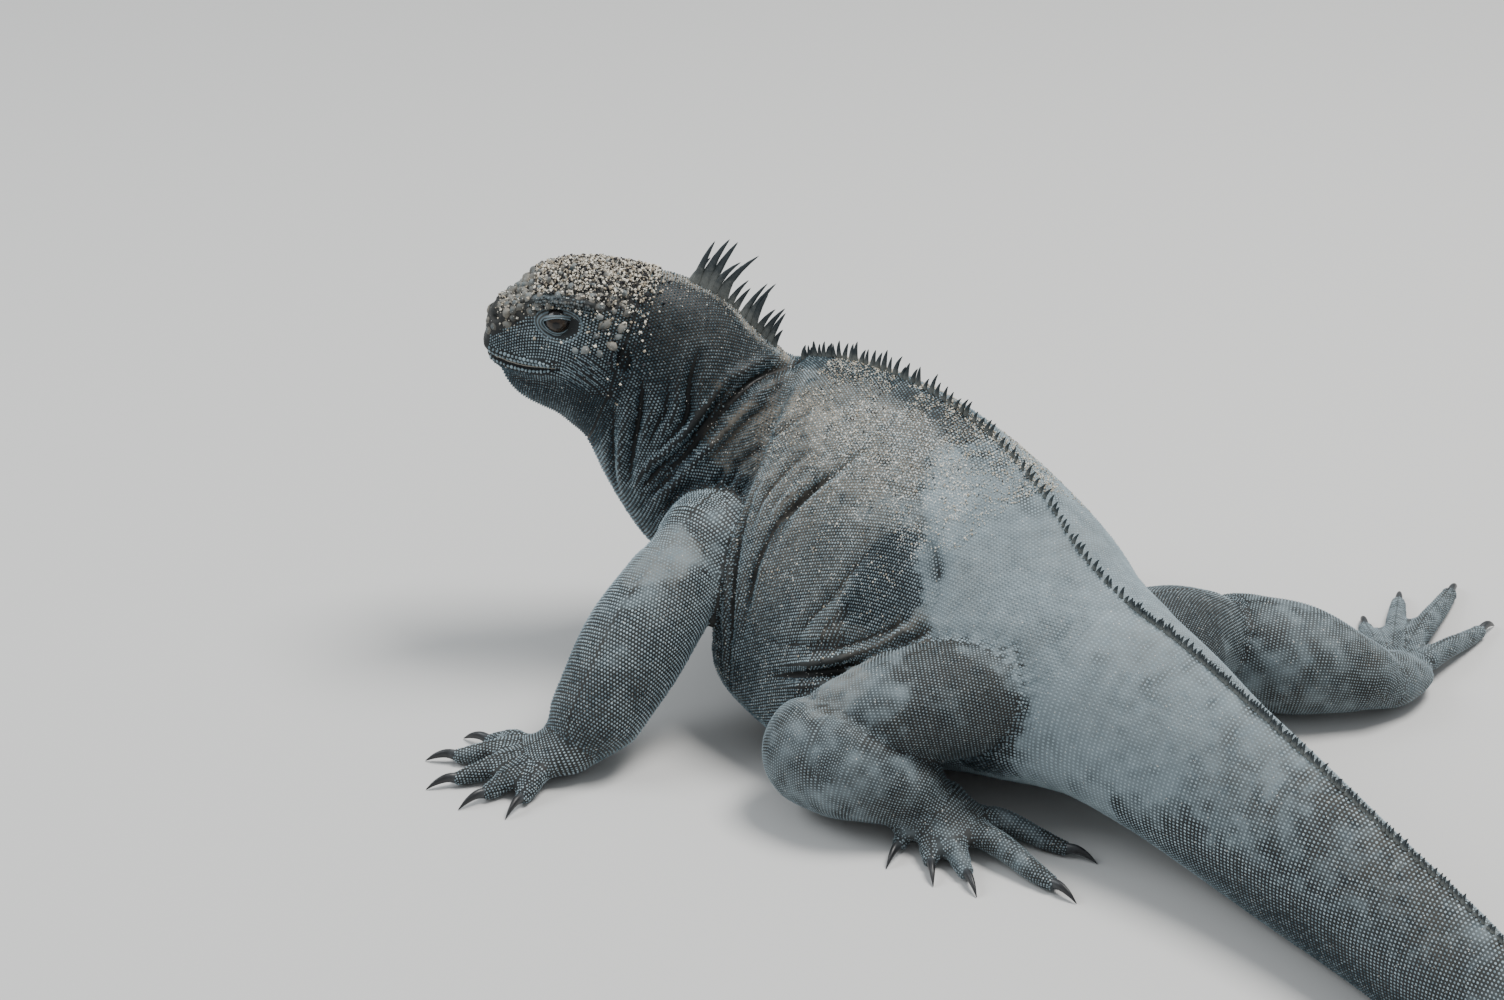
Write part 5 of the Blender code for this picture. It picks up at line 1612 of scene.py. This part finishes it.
        def lip(above: float) -> Callable[[float], tuple[float, float]]:
            """Return the row of plates that lies so far above the line of the mouth."""
            def spot(t: float) -> tuple[float, float]:
                """Return a place along the row."""
                back = 0.12 + 2.4 * t
                return back, float(mouth_height(back)) + above * (1 - 0.5 * t ** 6)

            return spot

        self.edge_row("upper_lip_plates", 17, (0.07, 0.075, 0.05), lip(0.19))
        self.edge_row("upper_lip_row", 16, (0.075, 0.07, 0.045), lip(0.35))
        self.brows()
        self.edge_row("lower_lip_plates", 17, (0.07, 0.07, 0.04), lip(-0.17))
        LOG.info("head plates built")

    def brows(self) -> None:
        """Build the rows of small plates along the ridge over each eye."""
        draws = np.random.default_rng(SEED + 9)
        for row in range(4):
            start, end = 1.72 + 0.13 * row, 4.35 - 0.16 * row

            def brow(t: float, row: int = row, start: float = start, end: float = end) -> tuple[float, float]:
                """Return a place along one row of small plates on the brow."""
                return (start + (end - start) * t + draws.uniform(-0.03, 0.03),
                        BROW_ROW_HEIGHT + 0.125 * row + 0.1 * math.sin(t * math.pi) + draws.uniform(-0.03, 0.03))

            piece = self.edge_row(f"brow_plates_{row + 1}", 22 - row, (0.068, 0.062, 0.07), brow)
            many = len(piece.data.vertices) // grain_size(GrainShape.PLATE)
            self.tone(piece, draws.uniform(0.2, 0.5, many), draws.uniform(0.0, 0.3, many), 0.2)


# Large plates of the head: how far back, how far aside or how high, and the radius.
FOREHEAD_KNOBS = (
    (0.75, 0.3, 0.16), (1.07, 0.49, 0.2), (1.4, 0.15, 0.22), (1.56, 0.6, 0.25), (1.39, 1.0, 0.18),
    (1.99, 0.3, 0.3), (1.98, 0.95, 0.24), (2.46, 0.75, 0.27), (2.6, 0.2, 0.27), (3.1, 0.95, 0.24),
    (3.3, 0.4, 0.25), (4.0, 1.2, 0.18))
TEMPLE_PLATES = (
    (4.62, 14.33, 0.27), (4.86, 13.56, 0.24), (4.37, 14.62, 0.2), (5.26, 14.16, 0.22), (5.4, 14.66, 0.2),
    (3.87, 13.42, 0.2), (3.5, 13.4, 0.16), (4.4, 13.3, 0.2), (5.1, 13.85, 0.16), (4.3, 13.95, 0.15),
    (4.95, 14.75, 0.16))


def box_middle(node: str) -> np.ndarray:
    """Return the middle of a frame node, in the maker's centimetres."""
    low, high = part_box(node)
    return to_maker((np.array(low) + np.array(high)) / 2)


@dataclass
class Eye:
    """One eyeball in its socket."""

    side: int
    centre: np.ndarray
    finish: "EyeFinish"
    radius: float = 0.535

    def build(self) -> bpy.types.Object:
        """Return the eyeball, with the distance from its pupil stored on it."""
        label = "left" if self.side > 0 else "right"
        clear_selection()
        bpy.ops.mesh.primitive_uv_sphere_add(segments=40, ring_count=24, radius=self.radius * CM,
                                             location=to_row(self.centre).tolist())
        piece = bpy.context.object
        piece.name = piece.data.name = f"eyeball_{label}"
        only_select(piece)
        bpy.ops.object.transform_apply(location=True, rotation=True, scale=True)
        outward = HEAD_LEFT * self.side
        points = to_maker(places_of(piece.data)) - self.centre
        ahead = points @ outward
        bulge = smooth_step(ahead / self.radius, 0.8, 1.0) * 0.02
        set_places(piece.data, to_row(self.centre + points + outward * bulge[:, None]))
        gaze = unit(outward + HEADING * 0.12)
        away = np.degrees(np.arccos(np.clip(unit(points) @ gaze, -1, 1)))
        set_attribute(piece.data, "gaze", away / 90.0)
        piece.data.shade_smooth()
        return dress(piece, self.finish.material(), "eye", f"eye_{label}")


# Along a claw, in claw lengths: how far out, how high, and its share of the claw's radius.
CLAW_CURVE = ((-0.12, -0.02, 0.9), (0.0, 0.0, 1.08), (0.35, 0.075, 0.9), (0.7, -0.02, 0.56), (1.0, -0.2, 0.1))


@dataclass
class Claw:
    """One curved claw at the end of a toe."""

    node: str
    toe: list[list[float]]
    finish: "HornFinish"
    sides: int = 14

    def build(self) -> bpy.types.Object:
        """Return the claw in place of its frame node."""
        tip, before = np.array(self.toe[-1][:3]), np.array(self.toe[-2][:3])
        way = unit(tip - before)
        level = unit(np.array([way[0], way[1], 0.0]))
        start = tip + way * 0.02
        rows = []
        for along, lift, size in CLAW_CURVE:
            radius = CLAW_RADIUS * size
            place = start + level * CLAW_LENGTH * along + UPWARD * CLAW_LENGTH * lift
            place[2] = max(place[2], radius + 0.02)
            rows.append([*place, radius * 0.78, radius * 1.04])
        form = limb_tube(Region.FOOT, rows, False, 4)
        piece = closed_tube(f"horn_{self.node}", form, 22, self.sides)
        points = to_maker(places_of(piece.data))
        set_attribute(piece.data, "lift", np.clip((points - start) @ level / CLAW_LENGTH, 0, 1))
        return dress(piece, self.finish.material(), "claw", self.node)


# Grains thrown on crown, snout, temples, nape, neck, back and flanks, as Grit.grains takes them.
SCATTERS = (
    (5400, 4.3, 8.3, 26, (0.024, 0.068), 0.2, 51),
    (700, 2.2, 5.0, 30, (0.02, 0.05), 0.4, 52),
    (260, 6.5, 8.6, 60, (0.03, 0.075), 0.45, 53),
    (1500, 8.3, 11.7, 8, (0.012, 0.03), 0.1, 54),
    (420, 8.6, 12.5, 60, (0.01, 0.028), 0.5, 55),
    (11000, 13.2, 16.9, 25, (0.014, 0.042), 0.42, 56),
    (1300, 12.6, 17.0, 50, (0.01, 0.024), 0.5, 57),
)


@dataclass
class Grit:
    """Sharp little grains of sand and shell that stick to crown, neck and back."""

    skin: Skin
    finish: "GritFinish"

    def grains(self, count: int, start: float, end: float, spread: float, size: tuple[float, float],
               patches: float, seed: int) -> tuple[np.ndarray, ...]:
        """Scatter grains over the top of the body form.

        Args:
            count: how many are thrown.
            start: the first place along the body.
            end: the last place along it.
            spread: how far they spread from the crest, in degrees.
            size: the least and the greatest half size, in centimetres.
            patches: below what share of a patchy pattern none stays.
            seed: which draw.

        Returns:
            Places, normals, half sizes, places along the body and turns round it.
        """
        draws = np.random.default_rng(seed)
        along = draws.uniform(start, end, count)
        turn = np.radians(np.clip(draws.normal(0, spread, count), -100, 100))
        points = to_row(self.skin.body.at(along, turn))
        keep = patchy(to_maker(points), 0.8, seed) > patches
        tree = self.skin.search()
        found = [tree.find_nearest(Vector(point), 0.004) for point in points[keep]]
        kept = np.array([hit[0] is not None for hit in found])
        found = [hit for hit in found if hit[0] is not None]
        sizes = size[0] + (size[1] - size[0]) * draws.uniform(0, 1, len(found)) ** 2.4
        return (np.array([h[0][:] for h in found]), np.array([h[1][:] for h in found]), sizes,
                along[keep][kept], turn[keep][kept])

    def build(self) -> bpy.types.Object:
        """Return every grain as one piece."""
        groups = [self.grains(*scatter) for scatter in SCATTERS]
        spots, normals, sizes, along, turn = (np.concatenate(values) for values in zip(*groups))
        back, _, height = HeadPlates.frame_of(spots)
        eye = ((back - EYE_BACK) / 1.1) ** 2 + ((height - EYE_HEIGHT) / 0.62) ** 2 < 1
        keep = ~(eye & (along < 8))
        spots, normals, sizes, along, turn = (values[keep] for values in (spots, normals, sizes, along, turn))
        draws = np.random.default_rng(SEED + 60)
        corner = np.vstack([np.eye(3), -np.eye(3)])
        tris = np.array([[0, 1, 2], [1, 3, 2], [3, 4, 2], [4, 0, 2],
                         [1, 0, 5], [3, 1, 5], [4, 3, 5], [0, 4, 5]])
        count = len(spots)
        shape = corner[None] * draws.uniform(0.6, 1.5, (count, 6, 1))
        turns, _ = np.linalg.qr(draws.normal(size=(count, 3, 3)))
        turns *= np.sign(np.linalg.det(turns))[:, None, None]
        shape = np.einsum("nij,nkj->nki", turns, shape) * (sizes * CM)[:, None, None]
        crust = (along > 4.3) & (along < 8.3)
        raised = sizes * 0.6 + np.where(crust, draws.uniform(0.03, 0.13, count), 0.02)
        points = spots[:, None] + shape + normals[:, None] * (raised * CM)[:, None, None]
        faces = (np.arange(count) * 6)[:, None, None] + tris[None]
        piece = piece_from("sand_grains", points.reshape(-1, 3), [faces.reshape(-1, 3)])
        tones = draws.uniform(0, 1, count)
        set_attribute(piece.data, "tone", np.repeat(np.where(along > 13, 0.3 + 0.7 * tones, tones), 6))
        piece.data.shade_flat()
        root = np.stack([along / TAIL_END, turn / (2 * np.pi) + 0.5], axis=-1)
        bake_map(piece, root[:, None] + (corner[:, :2] * PATCH_RADIUS)[None])
        LOG.info("grains of sand: %d", count)
        return dress(piece, self.finish.material(), "skin")


class Value:
    """A number or colour on its way through a material, that adds its own nodes."""

    def __init__(self, tree: bpy.types.NodeTree, socket: bpy.types.NodeSocket) -> None:
        """Wrap an output socket of a node tree."""
        self.tree = tree
        self.socket = socket

    def math(self, operation: str, other: "Value | float") -> "Value":
        """Return this value and another through one Math node."""
        return node(self.tree, "ShaderNodeMath", {"operation": operation}, {0: self, 1: other})

    def __add__(self, other: "Value | float") -> "Value":
        """Return the sum."""
        return self.math("ADD", other)

    __radd__ = __add__

    def __sub__(self, other: "Value | float") -> "Value":
        """Return the difference."""
        return self.math("SUBTRACT", other)

    def __rsub__(self, other: float) -> "Value":
        """Return a number less this value."""
        return (self * -1.0) + other

    def __mul__(self, other: "Value | float") -> "Value":
        """Return the product."""
        return self.math("MULTIPLY", other)

    def between(self, low: float, high: float) -> "Value":
        """Return 0 at low and 1 at high, with a soft rise and held at both ends."""
        return node(self.tree, "ShaderNodeMapRange", {"interpolation_type": "SMOOTHSTEP"},
                    {"Value": self, "From Min": low, "From Max": high})

    def mix(self, first: "Value | tuple", second: "Value | tuple") -> "Value":
        """Return a colour between two, with this value as the share of the second."""
        return node(self.tree, "ShaderNodeMix", {"data_type": "RGBA", "clamp_factor": True},
                    {0: self, 6: first, 7: second}, 2)


def node(tree: bpy.types.NodeTree, kind: str, settings: dict, inputs: dict, output: int | str = 0) -> Value:
    """Add one node to a tree.

    Args:
        tree: the material's node tree.
        kind: the node's type.
        settings: its settings, which are set first.
        inputs: a value, number or colour for each socket, by name or number.
        output: which of its outputs is returned.

    Returns:
        The chosen output.
    """
    made = tree.nodes.new(kind)
    for key, setting in settings.items():
        setattr(made, key, setting)
    for key, given in inputs.items():
        socket = made.inputs[key]
        if isinstance(given, Value):
            tree.links.new(given.socket, socket)
        elif isinstance(given, tuple) and len(given) == 3 and socket.type == "RGBA":
            socket.default_value = (*given, 1.0)
        else:
            socket.default_value = given
    return Value(tree, made.outputs[output])


def attribute(tree: bpy.types.NodeTree, name: str) -> Value:
    """Return a number stored on the mesh."""
    return node(tree, "ShaderNodeAttribute", {"attribute_name": name}, {}, "Fac")


def noise(tree: bpy.types.NodeTree, scale: float, detail: float = 3.0, roughness: float = 0.55) -> Value:
    """Return fractal noise over the object's own coordinates, by how many swells a metre."""
    place = node(tree, "ShaderNodeTexCoord", {}, {}, "Object")
    return node(tree, "ShaderNodeTexNoise", {}, {"Vector": place, "Scale": scale, "Detail": detail,
                                                 "Roughness": roughness})


def blank_material(name: str) -> tuple[bpy.types.Material, bpy.types.NodeTree, bpy.types.Node]:
    """Return a new material, its tree and its Principled shader."""
    made = bpy.data.materials.new(name)
    made.use_nodes = True
    return made, made.node_tree, made.node_tree.nodes["Principled BSDF"]


def connect(tree: bpy.types.NodeTree, shader: bpy.types.Node, **inputs: Value) -> None:
    """Link values to a shader's sockets, with an underscore for each space."""
    for key, value in inputs.items():
        tree.links.new(value.socket, shader.inputs[key.replace("_", " ")])


def bumped(tree: bpy.types.NodeTree, height: Value, strength: float, distance: float) -> Value:
    """Return a normal raised by a height."""
    given = {"Height": height, "Strength": strength, "Distance": distance}
    return node(tree, "ShaderNodeBump", {}, given, "Normal")


@dataclass(frozen=True)
class Finish:
    """A finish, whose material is made once."""

    name: str

    def material(self) -> bpy.types.Material:
        """Return the finish's material."""
        made = bpy.data.materials.get(self.name)
        if made is None:
            made, tree, shader = blank_material(self.name)
            self.shade(tree, shader)
        return made

    def shade(self, tree: bpy.types.NodeTree, shader: bpy.types.Node) -> None:
        """Set up the material's nodes."""
        raise NotImplementedError


@dataclass(frozen=True)
class HideFinish(Finish):
    """Slate hide: painted shade between its scales and a painted highlight on their tops, with dust, damp
    patches, painted shade in fold bottoms and specks of sand.
    """

    name: str = "slate_hide"
    dark: tuple[float, float, float] = (0.014, 0.028, 0.037)
    light: tuple[float, float, float] = (0.29, 0.36, 0.395)
    dust_colour: tuple[float, float, float] = (0.33, 0.30, 0.25)
    sand_colour: tuple[float, float, float] = (0.72, 0.71, 0.66)

    def shade(self, tree: bpy.types.NodeTree, shader: bpy.types.Node) -> None:
        """Set up the material's nodes."""
        tint, dust, damp, sand = (attribute(tree, key) for key in ("tint", "dust", "damp", "sand"))
        lift, tone = attribute(tree, "lift"), attribute(tree, "tone")
        fine = noise(tree, 420.0, 3.0)
        pale = tint.between(0.42, 0.78)
        vary = (tone - 0.5) * (0.30 - pale * 0.18)
        base = (tint + (fine - 0.5) * 0.2 + vary).math("MAXIMUM", 0.0).mix(self.dark, self.light)
        # Painted shade between the scales and a painted highlight on their tops: by lift, the colour is scaled
        # from hollow at a scale's foot to crown at its tip, less so on pale skin, and dust dims the tops.
        raised = lift.between(0.16, 0.5)
        hollow = 0.10 + pale * 0.64
        crown = 2.25 - pale * 1.02 - dust * 1.1
        # Damp patches and the painted shade of fold bottoms darken it further.
        shade = (raised * (crown - hollow) + hollow) * (1.0 - damp * 0.38)
        shaded = node(tree, "ShaderNodeVectorMath", {"operation": "SCALE"}, {0: base, "Scale": shade})
        clinging = dust * (1.0 - raised * 0.92) * noise(tree, 260.0, 2.0).between(0.2, 0.55)
        dusted = clinging.math("MINIMUM", 0.9).mix(shaded, self.dust_colour)
        speck = (noise(tree, 1500.0, 1.0, 0.4) + sand * 0.13).between(0.75, 0.79)
        colour = speck.mix(dusted, self.sand_colour)
        rough = 0.6 + dust * 0.2 + pale * 0.1 - damp * 0.2 + (fine - 0.5) * 0.12
        connect(tree, shader, Base_Color=colour, Roughness=rough,
                Normal=bumped(tree, noise(tree, 1500.0, 2.0), 0.25, 0.0003))
        shader.inputs["Specular IOR Level"].default_value = 0.26


@dataclass(frozen=True)
class HornFinish(Finish):
    """Dark horn of spines and claws, dustier at the root."""

    name: str = "dark_horn"
    root: tuple[float, float, float] = (0.16, 0.17, 0.16)
    tip: tuple[float, float, float] = (0.024, 0.034, 0.040)
    roughness: float = 0.5

    def shade(self, tree: bpy.types.NodeTree, shader: bpy.types.Node) -> None:
        """Set up the material's nodes."""
        lift = attribute(tree, "lift")
        streak = noise(tree, 600.0, 3.0)
        share = (lift + (streak - 0.5) * 0.5).between(0.0, 0.55)
        colour = share.mix(self.root, self.tip)
        rough = self.roughness + (streak - 0.5) * 0.25
        connect(tree, shader, Base_Color=colour, Roughness=rough,
                Normal=bumped(tree, noise(tree, 1200.0, 3.0), 0.3, 0.0003))


@dataclass(frozen=True)
class EyeFinish(Finish):
    """A dark wet eye with a brown iris."""

    name: str = "dark_eye"
    pupil: tuple[float, float, float] = (0.004, 0.004, 0.005)
    iris: tuple[float, float, float] = (0.022, 0.014, 0.009)
    fleck: tuple[float, float, float] = (0.045, 0.028, 0.014)
    white: tuple[float, float, float] = (0.012, 0.011, 0.011)

    def shade(self, tree: bpy.types.NodeTree, shader: bpy.types.Node) -> None:
        """Set up the material's nodes."""
        gaze = attribute(tree, "gaze")
        flecks = noise(tree, 1600.0, 3.0).between(0.45, 0.7)
        iris = gaze.between(0.16, 0.2).mix(self.pupil, self.iris)
        iris = (flecks * gaze.between(0.18, 0.3)).mix(iris, self.fleck)
        colour = gaze.between(0.42, 0.5).mix(iris, self.white)
        connect(tree, shader, Base_Color=colour, Roughness=gaze * 0.05 + 0.12)
        shader.inputs["Specular IOR Level"].default_value = 0.3
        shader.inputs["Coat Weight"].default_value = 0.2
        shader.inputs["Coat Roughness"].default_value = 0.03


@dataclass(frozen=True)
class GritFinish(Finish):
    """Cream, grey and black grains of shell sand and lava sand."""

    name: str = "shell_sand"
    lava: tuple[float, float, float] = (0.018, 0.018, 0.022)
    shell: tuple[float, float, float] = (0.42, 0.36, 0.27)
    cream: tuple[float, float, float] = (0.78, 0.74, 0.64)

    def shade(self, tree: bpy.types.NodeTree, shader: bpy.types.Node) -> None:
        """Set up the material's nodes."""
        tone = attribute(tree, "tone")
        pale = tone.between(0.5, 0.75).mix(self.shell, self.cream)
        colour = tone.between(0.36, 0.4).mix(self.lava, pale)
        rough = noise(tree, 900.0, 2.0) * 0.3 + 0.6
        connect(tree, shader, Base_Color=colour, Roughness=rough)


@dataclass(frozen=True)
class Studio:
    """The plain pale floor, the soft lights and the camera at the photo's view."""

    camera_place: tuple[float, float, float] = (80.71, -75.17, 65.76)
    camera_target: tuple[float, float, float] = (-26.96, 5.96, 0.0)
    lens: float = 84.0

    def floor(self) -> None:
        """Add the floor."""
        clear_selection()
        bpy.ops.mesh.primitive_plane_add(size=14.0, location=(0.0, 0.0, 0.0))
        floor = bpy.context.object
        floor.name = "floor"
        made, _, shader = blank_material("pale_floor")
        shader.inputs["Base Color"].default_value = (0.62, 0.62, 0.61, 1.0)
        shader.inputs["Roughness"].default_value = 0.9
        floor.data.materials.append(made)
        clear_selection()

    def light(self, name: str, place: Sequence[float], size: float, power: float,
              colour: tuple[float, float, float] = (1.0, 1.0, 1.0)) -> None:
        """Add a square soft light that points at the animal."""
        data = bpy.data.lights.new(name, "AREA")
        data.shape = "SQUARE"
        data.size = size
        data.energy = power
        data.color = colour
        lamp = bpy.data.objects.new(name, data)
        bpy.context.scene.collection.objects.link(lamp)
        lamp.location = place
        lamp.rotation_euler = (Vector((0.0, 0.0, 0.05)) - Vector(place)).to_track_quat("-Z", "Y").to_euler()

    def camera(self) -> None:
        """Add the camera at the photo's view."""
        data = bpy.data.cameras.new("camera")
        data.sensor_fit = "HORIZONTAL"
        data.sensor_width = 36.0
        data.lens = self.lens
        data.clip_start = 0.05
        data.dof.use_dof = False
        eye = bpy.data.objects.new("camera", data)
        bpy.context.scene.collection.objects.link(eye)
        place = Vector(to_row(np.array(self.camera_place)))
        target = Vector(to_row(np.array(self.camera_target)))
        eye.location = place
        eye.rotation_euler = (target - place).to_track_quat("-Z", "Y").to_euler()
        bpy.context.scene.camera = eye

    def build(self) -> None:
        """Add floor, sky, lights and camera."""
        self.floor()
        world = bpy.data.worlds.new("studio")
        world.use_nodes = True
        world.node_tree.nodes["Background"].inputs["Color"].default_value = (0.92, 0.96, 1.0, 1.0)
        world.node_tree.nodes["Background"].inputs["Strength"].default_value = 0.54
        bpy.context.scene.world = world
        self.light("overhead", (0.1, 0.6, 1.9), 0.8, 48.0, (1.0, 0.98, 0.95))
        self.light("left_window", (-1.2, -1.2, 1.3), 1.0, 17.0, (0.93, 0.97, 1.0))
        self.camera()


FLESH = ("head", "neck", "torso", "tail_1", "tail_2", "tail_3", "tail_4",
         "upper_arm_left", "forearm_left", "hand_left", "upper_arm_right", "forearm_right", "hand_right",
         "thigh_left", "shank_left", "foot_left", "thigh_right", "shank_right", "foot_right")


def finish_skin(skin: Skin, finish: HideFinish) -> None:
    """Store the markings on the skin and dress it."""
    mesh = skin.piece.data
    places = places_of(mesh)
    points = to_maker(places)
    skin.locate(places)
    region = np.array([form.region for form in skin.forms], dtype=object)[skin.owner]
    for key, values in Colouring.of(points, region, skin.along, skin.turn, skin.crease_and_painted_shade).items():
        set_attribute(mesh, key, values)
    # Painted shade: the bare skin between the scales takes the dark colour of a scale's foot.
    paint(mesh, lift=0.12, tone=0.5)
    dress(skin.piece, finish.material(), "skin", *FLESH)


def main() -> None:
    """Build the animal, its coat and the studio round it."""
    logging.basicConfig(level=logging.INFO, format="%(message)s")
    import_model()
    clear_selection()
    hide, horn = HideFinish(), HornFinish()
    skin = Skin(body_tube(), [form for limb in LIMBS for form in limb.tubes()])
    skin.build()
    ScaleCoat(skin, hide).build()
    plates = HeadPlates(skin, hide)
    plates.build()
    for side, label in ((1, "left"), (-1, "right")):
        centre = box_middle(f"eye_{label}")
        plates.lids(side, centre)
        Eye(side, centre, EyeFinish()).build()
    Crest(skin, horn).build()
    claw_finish = HornFinish("claw_horn", (0.05, 0.055, 0.06), (0.014, 0.015, 0.017), 0.4)
    for limb in LIMBS:
        end, side = limb.label.split("_")
        for number, toe in enumerate(limb.toes, 1):
            Claw(f"claw_{end}_{side}_{number}", toe, claw_finish).build()
    Grit(skin, GritFinish()).build()
    finish_skin(skin, hide)
    Studio().build()


if __name__ == "__main__":
    main()
